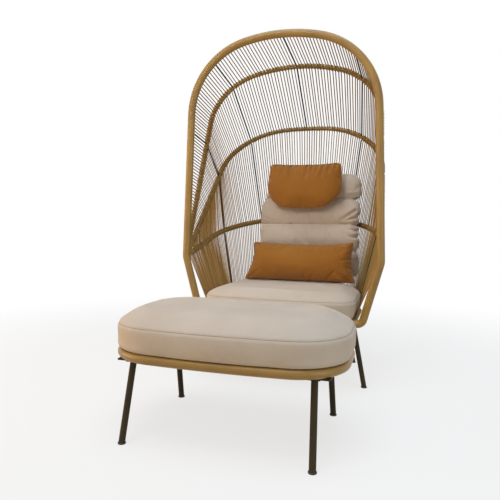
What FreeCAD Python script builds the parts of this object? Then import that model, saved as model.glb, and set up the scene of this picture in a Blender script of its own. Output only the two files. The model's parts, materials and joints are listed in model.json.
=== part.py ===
"""Outdoor armchair: a hooded cord shell on four legs, with its cushions and a footstool.

Millimetres, +Z up, the sitter looks along -Y. The origin lies on the floor, in the middle of the
ground that the chair and its footstool cover. All four hoops of the hood spring from the two
kinks of the front hoop, and fan out to the back like the ribs of a pram hood. Cords run across
the hoops from front to back, at equal shares of every hoop's length.
"""
import FreeCAD, Part
import math
import os

import Sketcher
from FreeCAD import Placement, Rotation, Vector

X_AXIS = Vector(1, 0, 0)
Z_AXIS = Vector(0, 0, 1)
RING_HALF_WIDTH = "(Sizes.hood_half_width - Sizes.ring_inset)"

SIZES = {
    # Hood: the plane of its front hoop, the two kinks where every hoop starts, and the lean of the
    # hoops' straight sides
    "hood_front": 38.6,
    "hood_half_width": 463,
    "kink_height": 593,
    "hoop_lean": 2.0,
    # Each hoop is two straight sides, two shoulder arcs and one crown arc
    "front_side": 685,
    "front_shoulder": 342,
    "front_half_crown": 13.75,
    "crown_tilt": 19.7,
    "crown_side": 730,
    "crown_shoulder": 303,
    "crown_half_crown": 18.5,
    "back_tilt": 43.0,
    "back_side": 631,
    "back_shoulder": 364,
    "back_half_crown": 4.3,
    "rail_tilt": 74.5,
    "rail_side": 320,
    "rail_shoulder": 440,
    "rail_half_crown": 13.1,
    # Below the kinks the front hoop flares in to the seat ring
    "lower_flare": 15.2,
    "kink_bend": 70,
    "foot_bend": 28,
    "front_tube_radius": 17.5,
    "hoop_tube_radius": 11,
    # Cords and the thin ribs among them
    "cord_spaces": 170,
    "cord_radius": 2.65,
    "rib_radius": 4,
    "inner_rib_station": 62,
    "outer_rib_station": 39,
    "cord_start": 95,
    "seat_cord_start": 26,
    # Seat ring of the chair
    "ring_height": 315,
    "ring_tube_radius": 15,
    "ring_inset": 118,
    "ring_front": 20,
    "ring_side": 300,
    "ring_shoulder": 225,
    "ring_half_back": 13,
    "ring_corner": 75,
    "ring_half_bow": 6,
    # Footstool ring
    "stool_ahead": 535,
    "stool_left": 24,
    "stool_ring_height": 297,
    "stool_tube_radius": 16.5,
    "stool_half_width": 406,
    "stool_half_depth": 248,
    "stool_corner": 180,
    "stool_half_bow": 4,
    # Legs: place of each foot, and how far its top stands in from it
    "leg_radius": 11.5,
    "leg_wall": 1.5,
    "front_foot_out": 52,
    "front_foot_back": 95,
    "front_leg_in": 55,
    "front_leg_back": 0,
    "rear_foot_in": 35,
    "rear_foot_back": 515,
    "rear_leg_in": 38,
    "rear_leg_forward": 95,
    "stool_foot_x": 328.7,
    "stool_foot_y": 244.1,
    "stool_leg_in": 8.7,
    "stool_leg_forward": 65,
    "glide_radius": 14,
    "glide_height": 6,
    "plug_length": 14,
    # Cross bars under the rings, and the plates on the legs' tops
    "bar_width": 36,
    "bar_thickness": 6,
    "bar_reach": 12,
    "plate_length": 104,
    "plate_width": 36,
    "plate_thickness": 3,
    "plate_outside": 20,
    "bolt_radius": 4,
    "bolt_hole_radius": 4.25,
    "bolt_inset": 36,
    "bolt_pitch": 30,
    "head_radius": 7,
    "head_height": 5,
    # Webbing across each ring
    "strap_width": 50,
    "strap_thickness": 2,
    "strap_end_margin": 4,
    "webbing_front_margin": 50,
    "webbing_rear_margin": 80,
    "stool_webbing_margin": 70,
    "strap_count": 6,
    "stool_strap_count": 5,
    # Seat cushion
    "seat_overhang": 19,
    "seat_front_overhang": 28,
    "seat_corner_ease": 46,
    "seat_bow": 14,
    "seat_thickness": 122,
    "seat_crown_inset": 95,
    # Back cushion: four rolls between sewn channels, leaning back
    "back_side_room": 94,
    "back_height": 580,
    "back_depth": 128,
    "back_crease_depth": 26,
    "back_front_corner": 40,
    "back_rear_bow": 66,
    "back_offset": 40,
    "back_inset": 8,
    "back_lean": 8,
    "back_rolls": 4,
    # Lumbar pillow with drawn-in sides between pointed corners
    "lumbar_top_width": 520,
    "lumbar_bottom_width": 560,
    "lumbar_height": 205,
    "lumbar_depth": 136,
    "lumbar_offset": 43,
    "lumbar_draw": 16,
    # Head pillow and the strap that hangs it over the back cushion
    "head_width": 400,
    "head_height_size": 238,
    "head_depth": 96,
    "head_offset": 40,
    "head_top_rise": 28,
    "head_draw": 8,
    "hang_strap_width": 60,
    "hang_strap_drop": 150,
    "hang_strap_thickness": 2,
    "weight_width": 120,
    "weight_height": 70,
    "weight_thickness": 13,
    # Footstool cushion
    "stool_cushion_half_width": 428,
    "stool_cushion_half_depth": 270,
    "stool_cushion_corner": 196,
    "stool_cushion_bow": 12,
    "stool_cushion_thickness": 138,
    "stool_cushion_crown_inset": 90,
    # Clearances
    "weld_gap": 0.3,
    "rest_gap": 0.3,
}

doc = FreeCAD.newDocument("OutdoorArmchair")
sheet = doc.addObject("Spreadsheet::Sheet", "Sizes")
for row, (alias, number) in enumerate(SIZES.items(), start=1):
    sheet.set(f"A{row}", alias)
    sheet.set(f"B{row}", str(number))
    sheet.setAlias(f"B{row}", alias)
doc.recompute()

nodes = []


def size(alias):
    """Value of one cell of the sheet."""
    return float(getattr(sheet, alias))


def sine(alias):
    """Sine of an angle of the sheet."""
    return math.sin(math.radians(size(alias)))


def cosine(alias):
    """Cosine of an angle of the sheet."""
    return math.cos(math.radians(size(alias)))


def part(label, obj):
    """Mark an object as a sub-part that gets a file of its own."""
    obj.Label = label
    nodes.append(obj)
    return obj


def shape_part(label, shape):
    """Sub-part made with Part's own functions."""
    obj = doc.addObject("Part::Feature", label)
    obj.Shape = shape
    return part(label, obj)


# Bent tubes: a constrained sketch of tangent lines and arcs, swept by a circle


def bind(sketch, constraint, expression):
    """Add a constraint and tie its value to the sheet."""
    index = sketch.addConstraint(constraint)
    sketch.setExpression(f"Constraints[{index}]", expression)


def value_of(sketch, expression):
    """Number that an expression gives."""
    return float(sketch.evalExpression(expression))


def trace(name, start, heading, moves, placement, closed=False):
    """Sketch a chain of tangent lines and arcs that all turn left.

    start and heading are expressions in the sketch's plane. A move is ("line", length) or
    ("arc", radius, turn in degrees). The last arc of a closed chain is sized by its two ends.
    """
    sketch = doc.addObject("Sketcher::SketchObject", name)
    x, y = [value_of(sketch, expression) for expression in start]
    angle = math.radians(value_of(sketch, heading))
    for index, move in enumerate(moves):
        kind, measure = move[0], move[1]
        closing = closed and index == len(moves) - 1
        if kind == "line":
            length = value_of(sketch, measure)
            end = Vector(x + length * math.cos(angle), y + length * math.sin(angle), 0)
            edge = Part.LineSegment(Vector(x, y, 0), end)
            sketch.addGeometry(edge)
            bind(sketch, Sketcher.Constraint("Distance", index, length), measure)
            x, y = end.x, end.y
        else:
            radius = value_of(sketch, measure)
            turn = math.radians(value_of(sketch, move[2]))
            center = Vector(x - radius * math.sin(angle), y + radius * math.cos(angle), 0)
            first = angle - math.pi / 2
            circle = Part.Circle(center, Z_AXIS, radius)
            sketch.addGeometry(Part.ArcOfCircle(circle, first, first + turn))
            if not closing:
                bind(sketch, Sketcher.Constraint("Radius", index, radius), measure)
                bind(sketch, Sketcher.Constraint("Angle", index, turn), f"({move[2]}) * 1 deg")
            x = center.x + radius * math.cos(first + turn)
            y = center.y + radius * math.sin(first + turn)
            angle += turn
        if index:
            sketch.addConstraint(Sketcher.Constraint("Tangent", index - 1, 2, index, 1))
        else:
            for axis, expression in zip(("DistanceX", "DistanceY"), start):
                place = value_of(sketch, expression)
                bind(sketch, Sketcher.Constraint(axis, -1, 1, 0, 1, place), expression)
            if kind == "line":
                turn = math.radians(value_of(sketch, heading))
                bind(sketch, Sketcher.Constraint("Angle", 0, turn), f"({heading}) * 1 deg")
    if closed:
        sketch.addConstraint(Sketcher.Constraint("Coincident", len(moves) - 1, 2, 0, 1))
    doc.recompute()
    sketch.Placement = placement
    doc.recompute()
    return sketch


def path_wire(sketch, chosen=slice(None)):
    """Wire through the sketch's edges in order, or through a slice of them."""
    return Part.Wire(Part.__sortEdges__(sketch.Shape.Edges[chosen]))


def sweep(name, sketch, radius):
    """Solid rod of the given radius (an expression) along a traced path."""
    profile = doc.addObject("Part::Circle", f"{name}_profile")
    profile.setExpression("Radius", radius)
    first = sketch.Shape.Edges[0]
    start = first.valueAt(first.FirstParameter)
    tangent = first.tangentAt(first.FirstParameter)
    profile.Placement = Placement(start, Rotation(Z_AXIS, tangent))
    rod = doc.addObject("Part::Sweep", name)
    rod.Sections = [profile]
    rod.Spine = (sketch, [f"Edge{index + 1}" for index in range(len(sketch.Shape.Edges))])
    rod.Solid = True
    rod.Frenet = False
    return rod


def cope(name, rod, tools):
    """Cut a tube's end to fit the tubes that it is welded to."""
    for index, tool in enumerate(tools, start=1):
        cut = doc.addObject("Part::Cut", f"{name}_cope{index}")
        cut.Base = rod
        cut.Tool = tool
        rod = cut
    return rod


def crown_radius(width, side, shoulder, half_crown):
    """Expression for the radius of the crown arc that joins the two shoulder arcs."""
    run = f"({width} - {side} * sin(Sizes.hoop_lean * 1 deg)"
    run += f" - {shoulder} * cos(Sizes.hoop_lean * 1 deg))"
    return f"{run} / sin({half_crown} * 1 deg) + {shoulder}"


def arch_moves(width, side, shoulder, half_crown):
    """Straight side, shoulder arc, crown arc, shoulder arc, straight side."""
    turn = f"90 - Sizes.hoop_lean - {half_crown}"
    crown = crown_radius(width, side, shoulder, half_crown)
    sides = ("line", side)
    shoulders = ("arc", shoulder, turn)
    return [sides, shoulders, ("arc", crown, f"2 * {half_crown}"), shoulders, sides]


def hoop_plane(tilt):
    """Plane through both kinks, tilted back from upright by an angle in degrees."""
    kinks = Vector(0, size("hood_front"), size("kink_height"))
    return Placement(kinks, Rotation(X_AXIS, 90 - tilt))


def fan_path(name):
    """Path of one rear hoop, from kink to kink."""
    cells = [f"Sizes.{name}_{piece}" for piece in ("side", "shoulder", "half_crown")]
    moves = arch_moves("Sizes.hood_half_width", *cells)
    start = ("Sizes.hood_half_width", "0")
    plane = hoop_plane(size(f"{name}_tilt"))
    return trace(f"{name}_path", start, "90 + Sizes.hoop_lean", moves, plane)


def front_path():
    """Path of the front hoop: foot bend, flared stretch, kink, arch, and the same mirrored."""
    flare = "Sizes.lower_flare"
    drop = "(Sizes.kink_height - Sizes.ring_height)"
    foot_turn = f"90 - {flare}"
    kink_turn = f"{flare} + Sizes.hoop_lean"
    foot_run = f"Sizes.foot_bend * tan(({foot_turn}) / 2 * 1 deg)"
    kink_run = f"Sizes.kink_bend * tan(({kink_turn}) / 2 * 1 deg)"
    inward = f"Sizes.ring_inset - {drop} * tan({flare} * 1 deg)"
    foot = ("line", f"{inward} - {foot_run}")
    foot_arc = ("arc", "Sizes.foot_bend", foot_turn)
    flared = ("line", f"{drop} / cos({flare} * 1 deg) - {foot_run} - {kink_run}")
    kink = ("arc", "Sizes.kink_bend", kink_turn)
    width = "Sizes.hood_half_width"
    arch = arch_moves(width, "Sizes.front_side", "Sizes.front_shoulder", "Sizes.front_half_crown")
    arch[0] = arch[-1] = ("line", f"Sizes.front_side - {kink_run}")
    moves = [foot, foot_arc, flared, kink, *arch, kink, flared, foot_arc, foot]
    start = (RING_HALF_WIDTH, f"-{drop}")
    return trace("front_path", start, "0", moves, hoop_plane(0))


def ring_path():
    """Seat ring: straight sides, a round back like the hoops' arches, and a bowed front."""
    width, back, bow_angle = RING_HALF_WIDTH, "Sizes.ring_half_back", "Sizes.ring_half_bow"
    side = ("line", "Sizes.ring_side")
    shoulder = ("arc", "Sizes.ring_shoulder", f"90 - {back}")
    crown = f"({width} - Sizes.ring_shoulder) / sin({back} * 1 deg) + Sizes.ring_shoulder"
    corner = ("arc", "Sizes.ring_corner", f"90 - {bow_angle}")
    bow_radius = f"({width} - Sizes.ring_corner) / sin({bow_angle} * 1 deg) + Sizes.ring_corner"
    bow = ("arc", bow_radius, f"2 * {bow_angle}")
    moves = [side, shoulder, ("arc", crown, f"2 * {back}"), shoulder, side, corner, bow, corner]
    plane = Placement(Vector(0, size("hood_front"), size("ring_height")), Rotation())
    return trace("ring_path", (width, "Sizes.ring_front"), "90", moves, plane, closed=True)


def stool_path():
    """Footstool ring: straight ends, round corners, and a bowed front and back."""
    bow_angle = "Sizes.stool_half_bow"
    corner = ("arc", "Sizes.stool_corner", f"90 - {bow_angle}")
    bow_radius = f"(Sizes.stool_half_width - Sizes.stool_corner) / sin({bow_angle} * 1 deg)"
    bow_radius += " + Sizes.stool_corner"
    bow = ("arc", bow_radius, f"2 * {bow_angle}")
    rise = f"({bow_radius} - Sizes.stool_corner) * (1 - cos({bow_angle} * 1 deg))"
    half_end = f"Sizes.stool_half_depth - {rise} - Sizes.stool_corner"
    end = ("line", f"2 * ({half_end})")
    moves = [end, corner, bow, corner, end, corner, bow, corner]
    plane = Placement(Vector(stool_middle, stool_center, size("stool_ring_height")), Rotation())
    start = ("Sizes.stool_half_width", f"-({half_end})")
    return trace("stool_path", start, "90", moves, plane, closed=True)


stool_middle = -size("stool_left")
stool_center = size("hood_front") - size("stool_ahead")
front_line = front_path()
crown_line = fan_path("crown")
back_line = fan_path("back")
rail_line = fan_path("rail")
ring_line = ring_path()
stool_line = stool_path()

ring = part("seat_ring", sweep("seat_ring", ring_line, "Sizes.ring_tube_radius"))
stool_ring = part("stool_ring", sweep("stool_ring", stool_line, "Sizes.stool_tube_radius"))

gap = " + Sizes.weld_gap"
ring_tool = sweep("ring_tool", ring_line, "Sizes.ring_tube_radius" + gap)
front_tool = sweep("front_tool", front_line, "Sizes.front_tube_radius" + gap)
crown_tool = sweep("crown_tool", crown_line, "Sizes.hoop_tube_radius" + gap)
back_tool = sweep("back_tool", back_line, "Sizes.hoop_tube_radius" + gap)

front_rod = sweep("front_rod", front_line, "Sizes.front_tube_radius")
crown_rod = sweep("crown_rod", crown_line, "Sizes.hoop_tube_radius")
back_rod = sweep("back_rod", back_line, "Sizes.hoop_tube_radius")
rail_rod = sweep("rail_rod", rail_line, "Sizes.hoop_tube_radius")

part("front_hoop", cope("front_hoop", front_rod, [ring_tool]))
part("crown_hoop", cope("crown_hoop", crown_rod, [front_tool]))
part("back_hoop", cope("back_hoop", back_rod, [front_tool, crown_tool]))
part("arm_rail", cope("arm_rail", rail_rod, [front_tool, crown_tool, back_tool]))
doc.recompute()


# Cords and ribs: straight rods from hoop to hoop, at equal shares of the hoops' lengths


def stations(wire, count):
    """Points at equal steps along a wire, from its right end to its left end."""
    points = wire.discretize(Number=count + 1)
    if points[0].x < 0:
        points.reverse()
    return points


def run_along(points, index):
    """Direction of a hoop at one of its stations."""
    low, high = max(index - 1, 0), min(index + 1, len(points) - 1)
    return (points[high] - points[low]).normalize()


def clear_of_tube(direction, tube_direction, tube_radius, rod_radius):
    """How far from a tube's centre line a rod starts, so that its flat end just clears it."""
    across = direction.cross(tube_direction).Length
    along = abs(direction.dot(tube_direction))
    return (tube_radius + size("weld_gap") + rod_radius * along) / across


def rod_between(near, far, index, near_radius, far_radius, radius):
    """Straight rod from one hoop's station to the next hoop's, clear of both tubes."""
    run = far[index] - near[index]
    direction = Vector(run).normalize()
    start = clear_of_tube(direction, run_along(near, index), near_radius, radius)
    finish = clear_of_tube(direction, run_along(far, index), far_radius, radius)
    length = run.Length - start - finish
    return Part.makeCylinder(radius, length, near[index] + direction * start, direction)


# Edges of the front hoop above its kinks, and of the seat ring from one front corner to the other
HOOP_ARCH = slice(4, 9)
RING_BACK = slice(0, 5)

spaces = int(size("cord_spaces"))
lines = [stations(wire, spaces) for wire in (
    path_wire(front_line, HOOP_ARCH),
    path_wire(crown_line),
    path_wire(back_line),
    path_wire(rail_line),
    path_wire(ring_line, RING_BACK),
)]
tube_radii = [size("front_tube_radius")] + 3 * [size("hoop_tube_radius")] + [size("ring_tube_radius")]
# The hoops close in on each other at the kinks, so the hood's cords start further from them than
# the seat's, which fill the side down along the front hoop's leg
first_cord = math.ceil(size("cord_start") / path_wire(crown_line).Length * spaces)
first_seat_cord = math.ceil(size("seat_cord_start") / path_wire(rail_line).Length * spaces)
first_cords = [first_cord, first_cord, first_cord, first_seat_cord]
middle = spaces // 2
inner, outer = int(size("inner_rib_station")), int(size("outer_rib_station"))
bays = ["front_bay_cords", "crown_bay_cords", "back_bay_cords", "seat_bay_cords"]
# Station of each rib, and the bays that it crosses
rib_stations = {
    "center_rib": (middle, bays[:2]),
    "inner_rib_right": (inner, bays),
    "inner_rib_left": (spaces - inner, bays),
    "outer_rib_right": (outer, bays),
    "outer_rib_left": (spaces - outer, bays),
}
for bay, label in enumerate(bays):
    near, far = lines[bay], lines[bay + 1]
    taken = [station for station, crossed in rib_stations.values() if label in crossed]
    cords = []
    for index in range(first_cords[bay], spaces - first_cords[bay] + 1):
        if index not in taken:
            radii = (tube_radii[bay], tube_radii[bay + 1], size("cord_radius"))
            cords.append(rod_between(near, far, index, *radii))
    shape_part(label, Part.makeCompound(cords))

for label, (station, crossed) in rib_stations.items():
    rods = []
    for bay in range(len(crossed)):
        radii = (tube_radii[bay], tube_radii[bay + 1], size("rib_radius"))
        rods.append(rod_between(lines[bay], lines[bay + 1], station, *radii))
    shape_part(label, Part.makeCompound(rods))


# Cross bars, leg plates, legs, glides and bolts


def rectangle(sketch, length, width):
    """Rectangle about the sketch's origin, its two sizes given as expressions."""
    half_length = value_of(sketch, length) / 2
    half_width = value_of(sketch, width) / 2
    corners = [
        Vector(-half_length, -half_width, 0),
        Vector(half_length, -half_width, 0),
        Vector(half_length, half_width, 0),
        Vector(-half_length, half_width, 0),
    ]
    for index in range(4):
        sketch.addGeometry(Part.LineSegment(corners[index], corners[(index + 1) % 4]))
    for index in range(4):
        sketch.addConstraint(Sketcher.Constraint("Coincident", index, 2, (index + 1) % 4, 1))
    for index, kind in enumerate(("Horizontal", "Vertical", "Horizontal", "Vertical")):
        sketch.addConstraint(Sketcher.Constraint(kind, index))
    sketch.addConstraint(Sketcher.Constraint("Symmetric", 0, 1, 1, 2, -1, 1))
    bind(sketch, Sketcher.Constraint("DistanceX", 0, 1, 0, 2, 2 * half_length), length)
    bind(sketch, Sketcher.Constraint("DistanceY", 1, 1, 1, 2, 2 * half_width), width)


def flat_bar(label, length, width, thickness, holes, place):
    """Flat steel with round holes along its middle line, as a padded sketch.

    holes lists the expressions of their places along the bar. place is the middle of the
    bar's under side.
    """
    body = doc.addObject("PartDesign::Body", label)
    plane = [feature for feature in body.Origin.OriginFeatures if feature.Role == "XY_Plane"][0]
    sketch = body.newObject("Sketcher::SketchObject", f"{label}_outline")
    sketch.AttachmentSupport = (plane, [""])
    sketch.MapMode = "FlatFace"
    rectangle(sketch, length, width)
    for hole in holes:
        radius = size("bolt_hole_radius")
        along = value_of(sketch, hole)
        index = sketch.addGeometry(Part.Circle(Vector(along, 0, 0), Z_AXIS, radius))
        bind(sketch, Sketcher.Constraint("Radius", index, radius), "Sizes.bolt_hole_radius")
        bind(sketch, Sketcher.Constraint("DistanceX", -1, 1, index, 3, along), hole)
        sketch.addConstraint(Sketcher.Constraint("PointOnObject", index, 3, -1))
    pad = body.newObject("PartDesign::Pad", f"{label}_pad")
    pad.Profile = sketch
    pad.setExpression("Length", thickness)
    sketch.Visibility = False
    doc.recompute()
    body.Placement = Placement(place, Rotation())
    return part(label, body)


def slanted_rod(name, radius, base, run):
    """Leaning round rod with level ends; radius is an expression."""
    profile = doc.addObject("Part::Circle", f"{name}_circle")
    profile.setExpression("Radius", radius)
    profile.Placement = Placement(base, Rotation())
    rod = doc.addObject("Part::Extrusion", name)
    rod.Base = profile
    rod.DirMode = "Custom"
    rod.Dir = run
    rod.LengthFwd = run.Length
    rod.Solid = True
    return rod


def slanted_tube(label, base, run):
    """Leg: a leaning tube cut level at its foot and its top."""
    tube = doc.addObject("Part::Cut", label)
    tube.Base = slanted_rod(f"{label}_outside", "Sizes.leg_radius", base, run)
    tube.Tool = slanted_rod(f"{label}_bore", "Sizes.leg_radius - Sizes.leg_wall", base, run)
    return part(label, tube)


def fuse(name, shapes):
    """Union of solids that touch or overlap."""
    joined = doc.addObject("Part::MultiFuse", name)
    joined.Shapes = shapes
    return joined


def glide(name, foot, run):
    """Plastic foot: a disc on the floor with a plug up the leg's bore."""
    disc = doc.addObject("Part::Cylinder", f"{name}_disc")
    disc.setExpression("Radius", "Sizes.glide_radius")
    disc.setExpression("Height", "Sizes.glide_height")
    disc.Placement = Placement(Vector(foot.x, foot.y, 0), Rotation())
    plug_run = run * (size("plug_length") / run.z)
    plug_radius = "Sizes.leg_radius - Sizes.leg_wall - Sizes.rest_gap"
    plug = slanted_rod(f"{name}_plug", plug_radius, foot, plug_run)
    return fuse(name, [disc, plug])


def bolt(name, place, grip):
    """Hexagon bolt with its nut; place is on the plate's under side, grip the clamped depth."""
    head = doc.addObject("Part::Prism", f"{name}_head")
    head.Polygon = 6
    head.setExpression("Circumradius", "Sizes.head_radius")
    head.setExpression("Height", "Sizes.head_height")
    head.Placement = Placement(place - Z_AXIS * size("head_height"), Rotation())
    shank = doc.addObject("Part::Cylinder", f"{name}_shank")
    shank.setExpression("Radius", "Sizes.bolt_radius")
    shank.setExpression("Height", "Sizes.bar_thickness + Sizes.plate_thickness + Sizes.head_height")
    shank.Placement = Placement(place, Rotation())
    nut = doc.addObject("Part::Prism", f"{name}_nut")
    nut.Polygon = 6
    nut.setExpression("Circumradius", "Sizes.head_radius")
    nut.setExpression("Height", "Sizes.head_height")
    nut.Placement = Placement(place + Z_AXIS * grip, Rotation())
    return fuse(name, [head, shank, nut])


def group(label, members):
    """Loose solids of one kind, kept as one sub-part."""
    compound = doc.addObject("Part::Compound", label)
    compound.Links = members
    return part(label, compound)


def leg_set(prefix, middle, ring_bottom, feet, steps, bar_half_lengths, bar_names):
    """Legs of one piece of furniture, with bars, plates, bolts and glides.

    middle is its middle along X. feet maps a leg's name to the middle of its foot, steps to the
    way from foot to top.
    """
    bar_top = ring_bottom - size("weld_gap")
    bar_bottom = bar_top - size("bar_thickness")
    plate_bottom = bar_bottom - size("plate_thickness")
    rise = plate_bottom - size("glide_height")
    grip = bar_top - plate_bottom
    bar_rows = {}
    glides, bolts = [], []
    for name, (foot_x, foot_y) in feet.items():
        step_x, step_y = steps[name]
        base = Vector(foot_x, foot_y, size("glide_height"))
        run = Vector(step_x, step_y, rise)
        top = base + run
        slanted_tube(name, base, run)
        glides.append(glide(f"{name}_glide", base, run))
        side = math.copysign(1, foot_x)
        outside = "Sizes.plate_length / 2 - Sizes.plate_outside"
        holes = [
            f"{-side} * (Sizes.bolt_inset - ({outside}))",
            f"{-side} * (Sizes.bolt_inset + Sizes.bolt_pitch - ({outside}))",
        ]
        middle_x = top.x - side * (size("plate_length") / 2 - size("plate_outside"))
        place = Vector(middle_x, top.y, plate_bottom)
        widths = ("Sizes.plate_length", "Sizes.plate_width", "Sizes.plate_thickness")
        flat_bar(f"{name}_plate", *widths, holes, place)
        for number in range(2):
            inset = size("bolt_inset") + number * size("bolt_pitch")
            spot = Vector(top.x - side * inset, top.y, plate_bottom)
            bolts.append(bolt(f"{name}_bolt{number + 1}", spot, grip))
            bar_rows.setdefault(round(top.y, 3), []).append(spot.x - middle)
    for label, row, half in zip(bar_names, sorted(bar_rows), bar_half_lengths):
        holes = [f"{spot}" for spot in bar_rows[row]]
        place = Vector(middle, row, bar_bottom)
        flat_bar(label, f"{2 * half}", "Sizes.bar_width", "Sizes.bar_thickness", holes, place)
    group(f"{prefix}_bolts", bolts)
    group(f"{prefix}_glides", glides)


def half_width_at(wire, depth):
    """Half the width of a ring's centre line at a place along Y."""
    box = wire.BoundBox
    middle = box.Center.x
    across = Part.makeLine(Vector(middle, depth, box.ZMin), Vector(middle + box.XLength, depth, box.ZMin))
    touches = wire.distToShape(across)[1]
    return max(on_wire.x for on_wire, on_line in touches) - middle


ring_wire = path_wire(ring_line)
stool_wire = path_wire(stool_line)
ring_half_width = size("hood_half_width") - size("ring_inset")

front_foot = (ring_half_width + size("front_foot_out"), size("hood_front") + size("front_foot_back"))
rear_foot = (ring_half_width - size("rear_foot_in"), size("hood_front") + size("rear_foot_back"))
chair_feet = {}
chair_steps = {}
for word, side in (("left", -1), ("right", 1)):
    chair_feet[f"front_{word}_leg"] = (side * front_foot[0], front_foot[1])
    chair_steps[f"front_{word}_leg"] = (-side * size("front_leg_in"), size("front_leg_back"))
    chair_feet[f"rear_{word}_leg"] = (side * rear_foot[0], rear_foot[1])
    chair_steps[f"rear_{word}_leg"] = (-side * size("rear_leg_in"), -size("rear_leg_forward"))
front_bar_y = front_foot[1] + size("front_leg_back")
rear_bar_y = rear_foot[1] - size("rear_leg_forward")
chair_bars = [half_width_at(ring_wire, row) + size("bar_reach") for row in (front_bar_y, rear_bar_y)]
ring_bottom = size("ring_height") - size("ring_tube_radius")
bar_labels = ["seat_front_bar", "seat_rear_bar"]
leg_set("chair", 0, ring_bottom, chair_feet, chair_steps, chair_bars, bar_labels)

stool_feet = {}
stool_steps = {}
stool_rows = []
for word, side in (("left", -1), ("right", 1)):
    for end, sign in (("front", -1), ("rear", 1)):
        foot_y = stool_center + sign * size("stool_foot_y")
        name = f"stool_{end}_{word}_leg"
        stool_feet[name] = (stool_middle + side * size("stool_foot_x"), foot_y)
        stool_steps[name] = (-side * size("stool_leg_in"), -sign * size("stool_leg_forward"))
bar_offset = size("stool_foot_y") - size("stool_leg_forward")
for sign in (-1, 1):
    row = stool_center + sign * bar_offset
    stool_rows.append(half_width_at(stool_wire, row) + size("bar_reach"))
stool_bottom = size("stool_ring_height") - size("stool_tube_radius")
bar_labels = ["stool_front_bar", "stool_rear_bar"]
leg_set("stool", stool_middle, stool_bottom, stool_feet, stool_steps, stool_rows, bar_labels)


def webbing(label, wire, top_of_tube, first, last, count):
    """Flat straps across a ring, each lying on its two tubes."""
    straps = []
    middle = wire.BoundBox.Center.x
    for index in range(count):
        place = first + (last - first) * index / (count - 1)
        edges = (place - size("strap_width") / 2, place + size("strap_width") / 2)
        half = min(half_width_at(wire, edge) for edge in edges) - size("strap_end_margin")
        strap = doc.addObject("Part::Box", f"{label}_strap{index + 1}")
        strap.Length = 2 * half
        strap.setExpression("Width", "Sizes.strap_width")
        strap.setExpression("Height", "Sizes.strap_thickness")
        front = place - size("strap_width") / 2
        corner = Vector(middle - half, front, top_of_tube + size("rest_gap"))
        strap.Placement = Placement(corner, Rotation())
        straps.append(strap)
    return group(label, straps)


ring_top = size("ring_height") + size("ring_tube_radius")
ring_box = ring_wire.BoundBox
webbing("seat_webbing", ring_wire, ring_top, ring_box.YMin + size("webbing_front_margin"),
        ring_box.YMax - size("webbing_rear_margin"), int(size("strap_count")))
stool_top = size("stool_ring_height") + size("stool_tube_radius")
stool_box = stool_wire.BoundBox
stool_margin = size("stool_webbing_margin")
webbing("stool_webbing", stool_wire, stool_top, stool_box.YMin + stool_margin,
        stool_box.YMax - stool_margin, int(size("stool_strap_count")))


# Cushions: smooth lofts through level outlines of lines and arcs


def rounded_outline(half_width, low, high, low_corner, high_corner, bow, level):
    """Rounded rectangle with a bowed low side, at a height."""
    points = [
        Vector(half_width, high - high_corner, level),
        Vector(-half_width, high - high_corner, level),
        Vector(-half_width, low + low_corner, level),
        Vector(half_width, low + low_corner, level),
    ]
    diagonal = math.sqrt(0.5)
    top_left = Vector(-half_width + high_corner, high, level)
    top_right = Vector(half_width - high_corner, high, level)
    low_left = Vector(-half_width + low_corner, low, level)
    low_right = Vector(half_width - low_corner, low, level)

    def corner(center_x, center_y, radius, sign_x, sign_y):
        reach = radius * diagonal
        return Vector(center_x + sign_x * reach, center_y + sign_y * reach, level)

    edges = [
        Part.Arc(points[0], corner(top_right.x, points[0].y, high_corner, 1, 1), top_right),
        Part.LineSegment(top_right, top_left),
        Part.Arc(top_left, corner(top_left.x, points[1].y, high_corner, -1, 1), points[1]),
        Part.LineSegment(points[1], points[2]),
        Part.Arc(points[2], corner(low_left.x, points[2].y, low_corner, -1, -1), low_left),
        Part.Arc(low_left, Vector(0, low - bow, level), low_right),
        Part.Arc(low_right, corner(low_right.x, points[3].y, low_corner, 1, -1), points[3]),
        Part.LineSegment(points[3], points[0]),
    ]
    return Part.Wire([edge.toShape() for edge in edges])


# Share of the thickness and share of the crown inset, from the under side to the crown. The seat
# cushion tapers in to the ring, because the cord walls beside it close in towards the ring too.
SEAT_LEVELS = [(0.0, 0.32), (0.1, 0.2), (0.3, 0.12), (0.62, 0.0), (0.84, 0.14), (0.95, 0.48), (1.0, 1.0)]
STOOL_LEVELS = [(0.0, 0.3), (0.1, 0.1), (0.3, 0.0), (0.62, 0.0), (0.82, 0.14), (0.94, 0.5), (1.0, 1.0)]
# Largest corner radius of an outline, as a share of its half width
CORNER_SHARE = 0.95


def seat_pad(label, levels, half_width, low, high, corners, bow, thickness, inset, place):
    """Box cushion lying flat: drawn-in under side, full sides and a crowned top."""
    outlines = []
    for height, share in levels:
        cut = inset * share
        widest = (half_width - cut) * CORNER_SHARE
        front_corner, back_corner = [min(corner - cut / 2, widest) for corner in corners]
        outlines.append(rounded_outline(half_width - cut, low + cut, high - cut, front_corner,
                                        back_corner, bow, thickness * height))
    obj = shape_part(label, Part.makeLoft(outlines, True, False))
    obj.Placement = Placement(place, Rotation())
    return obj


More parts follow.
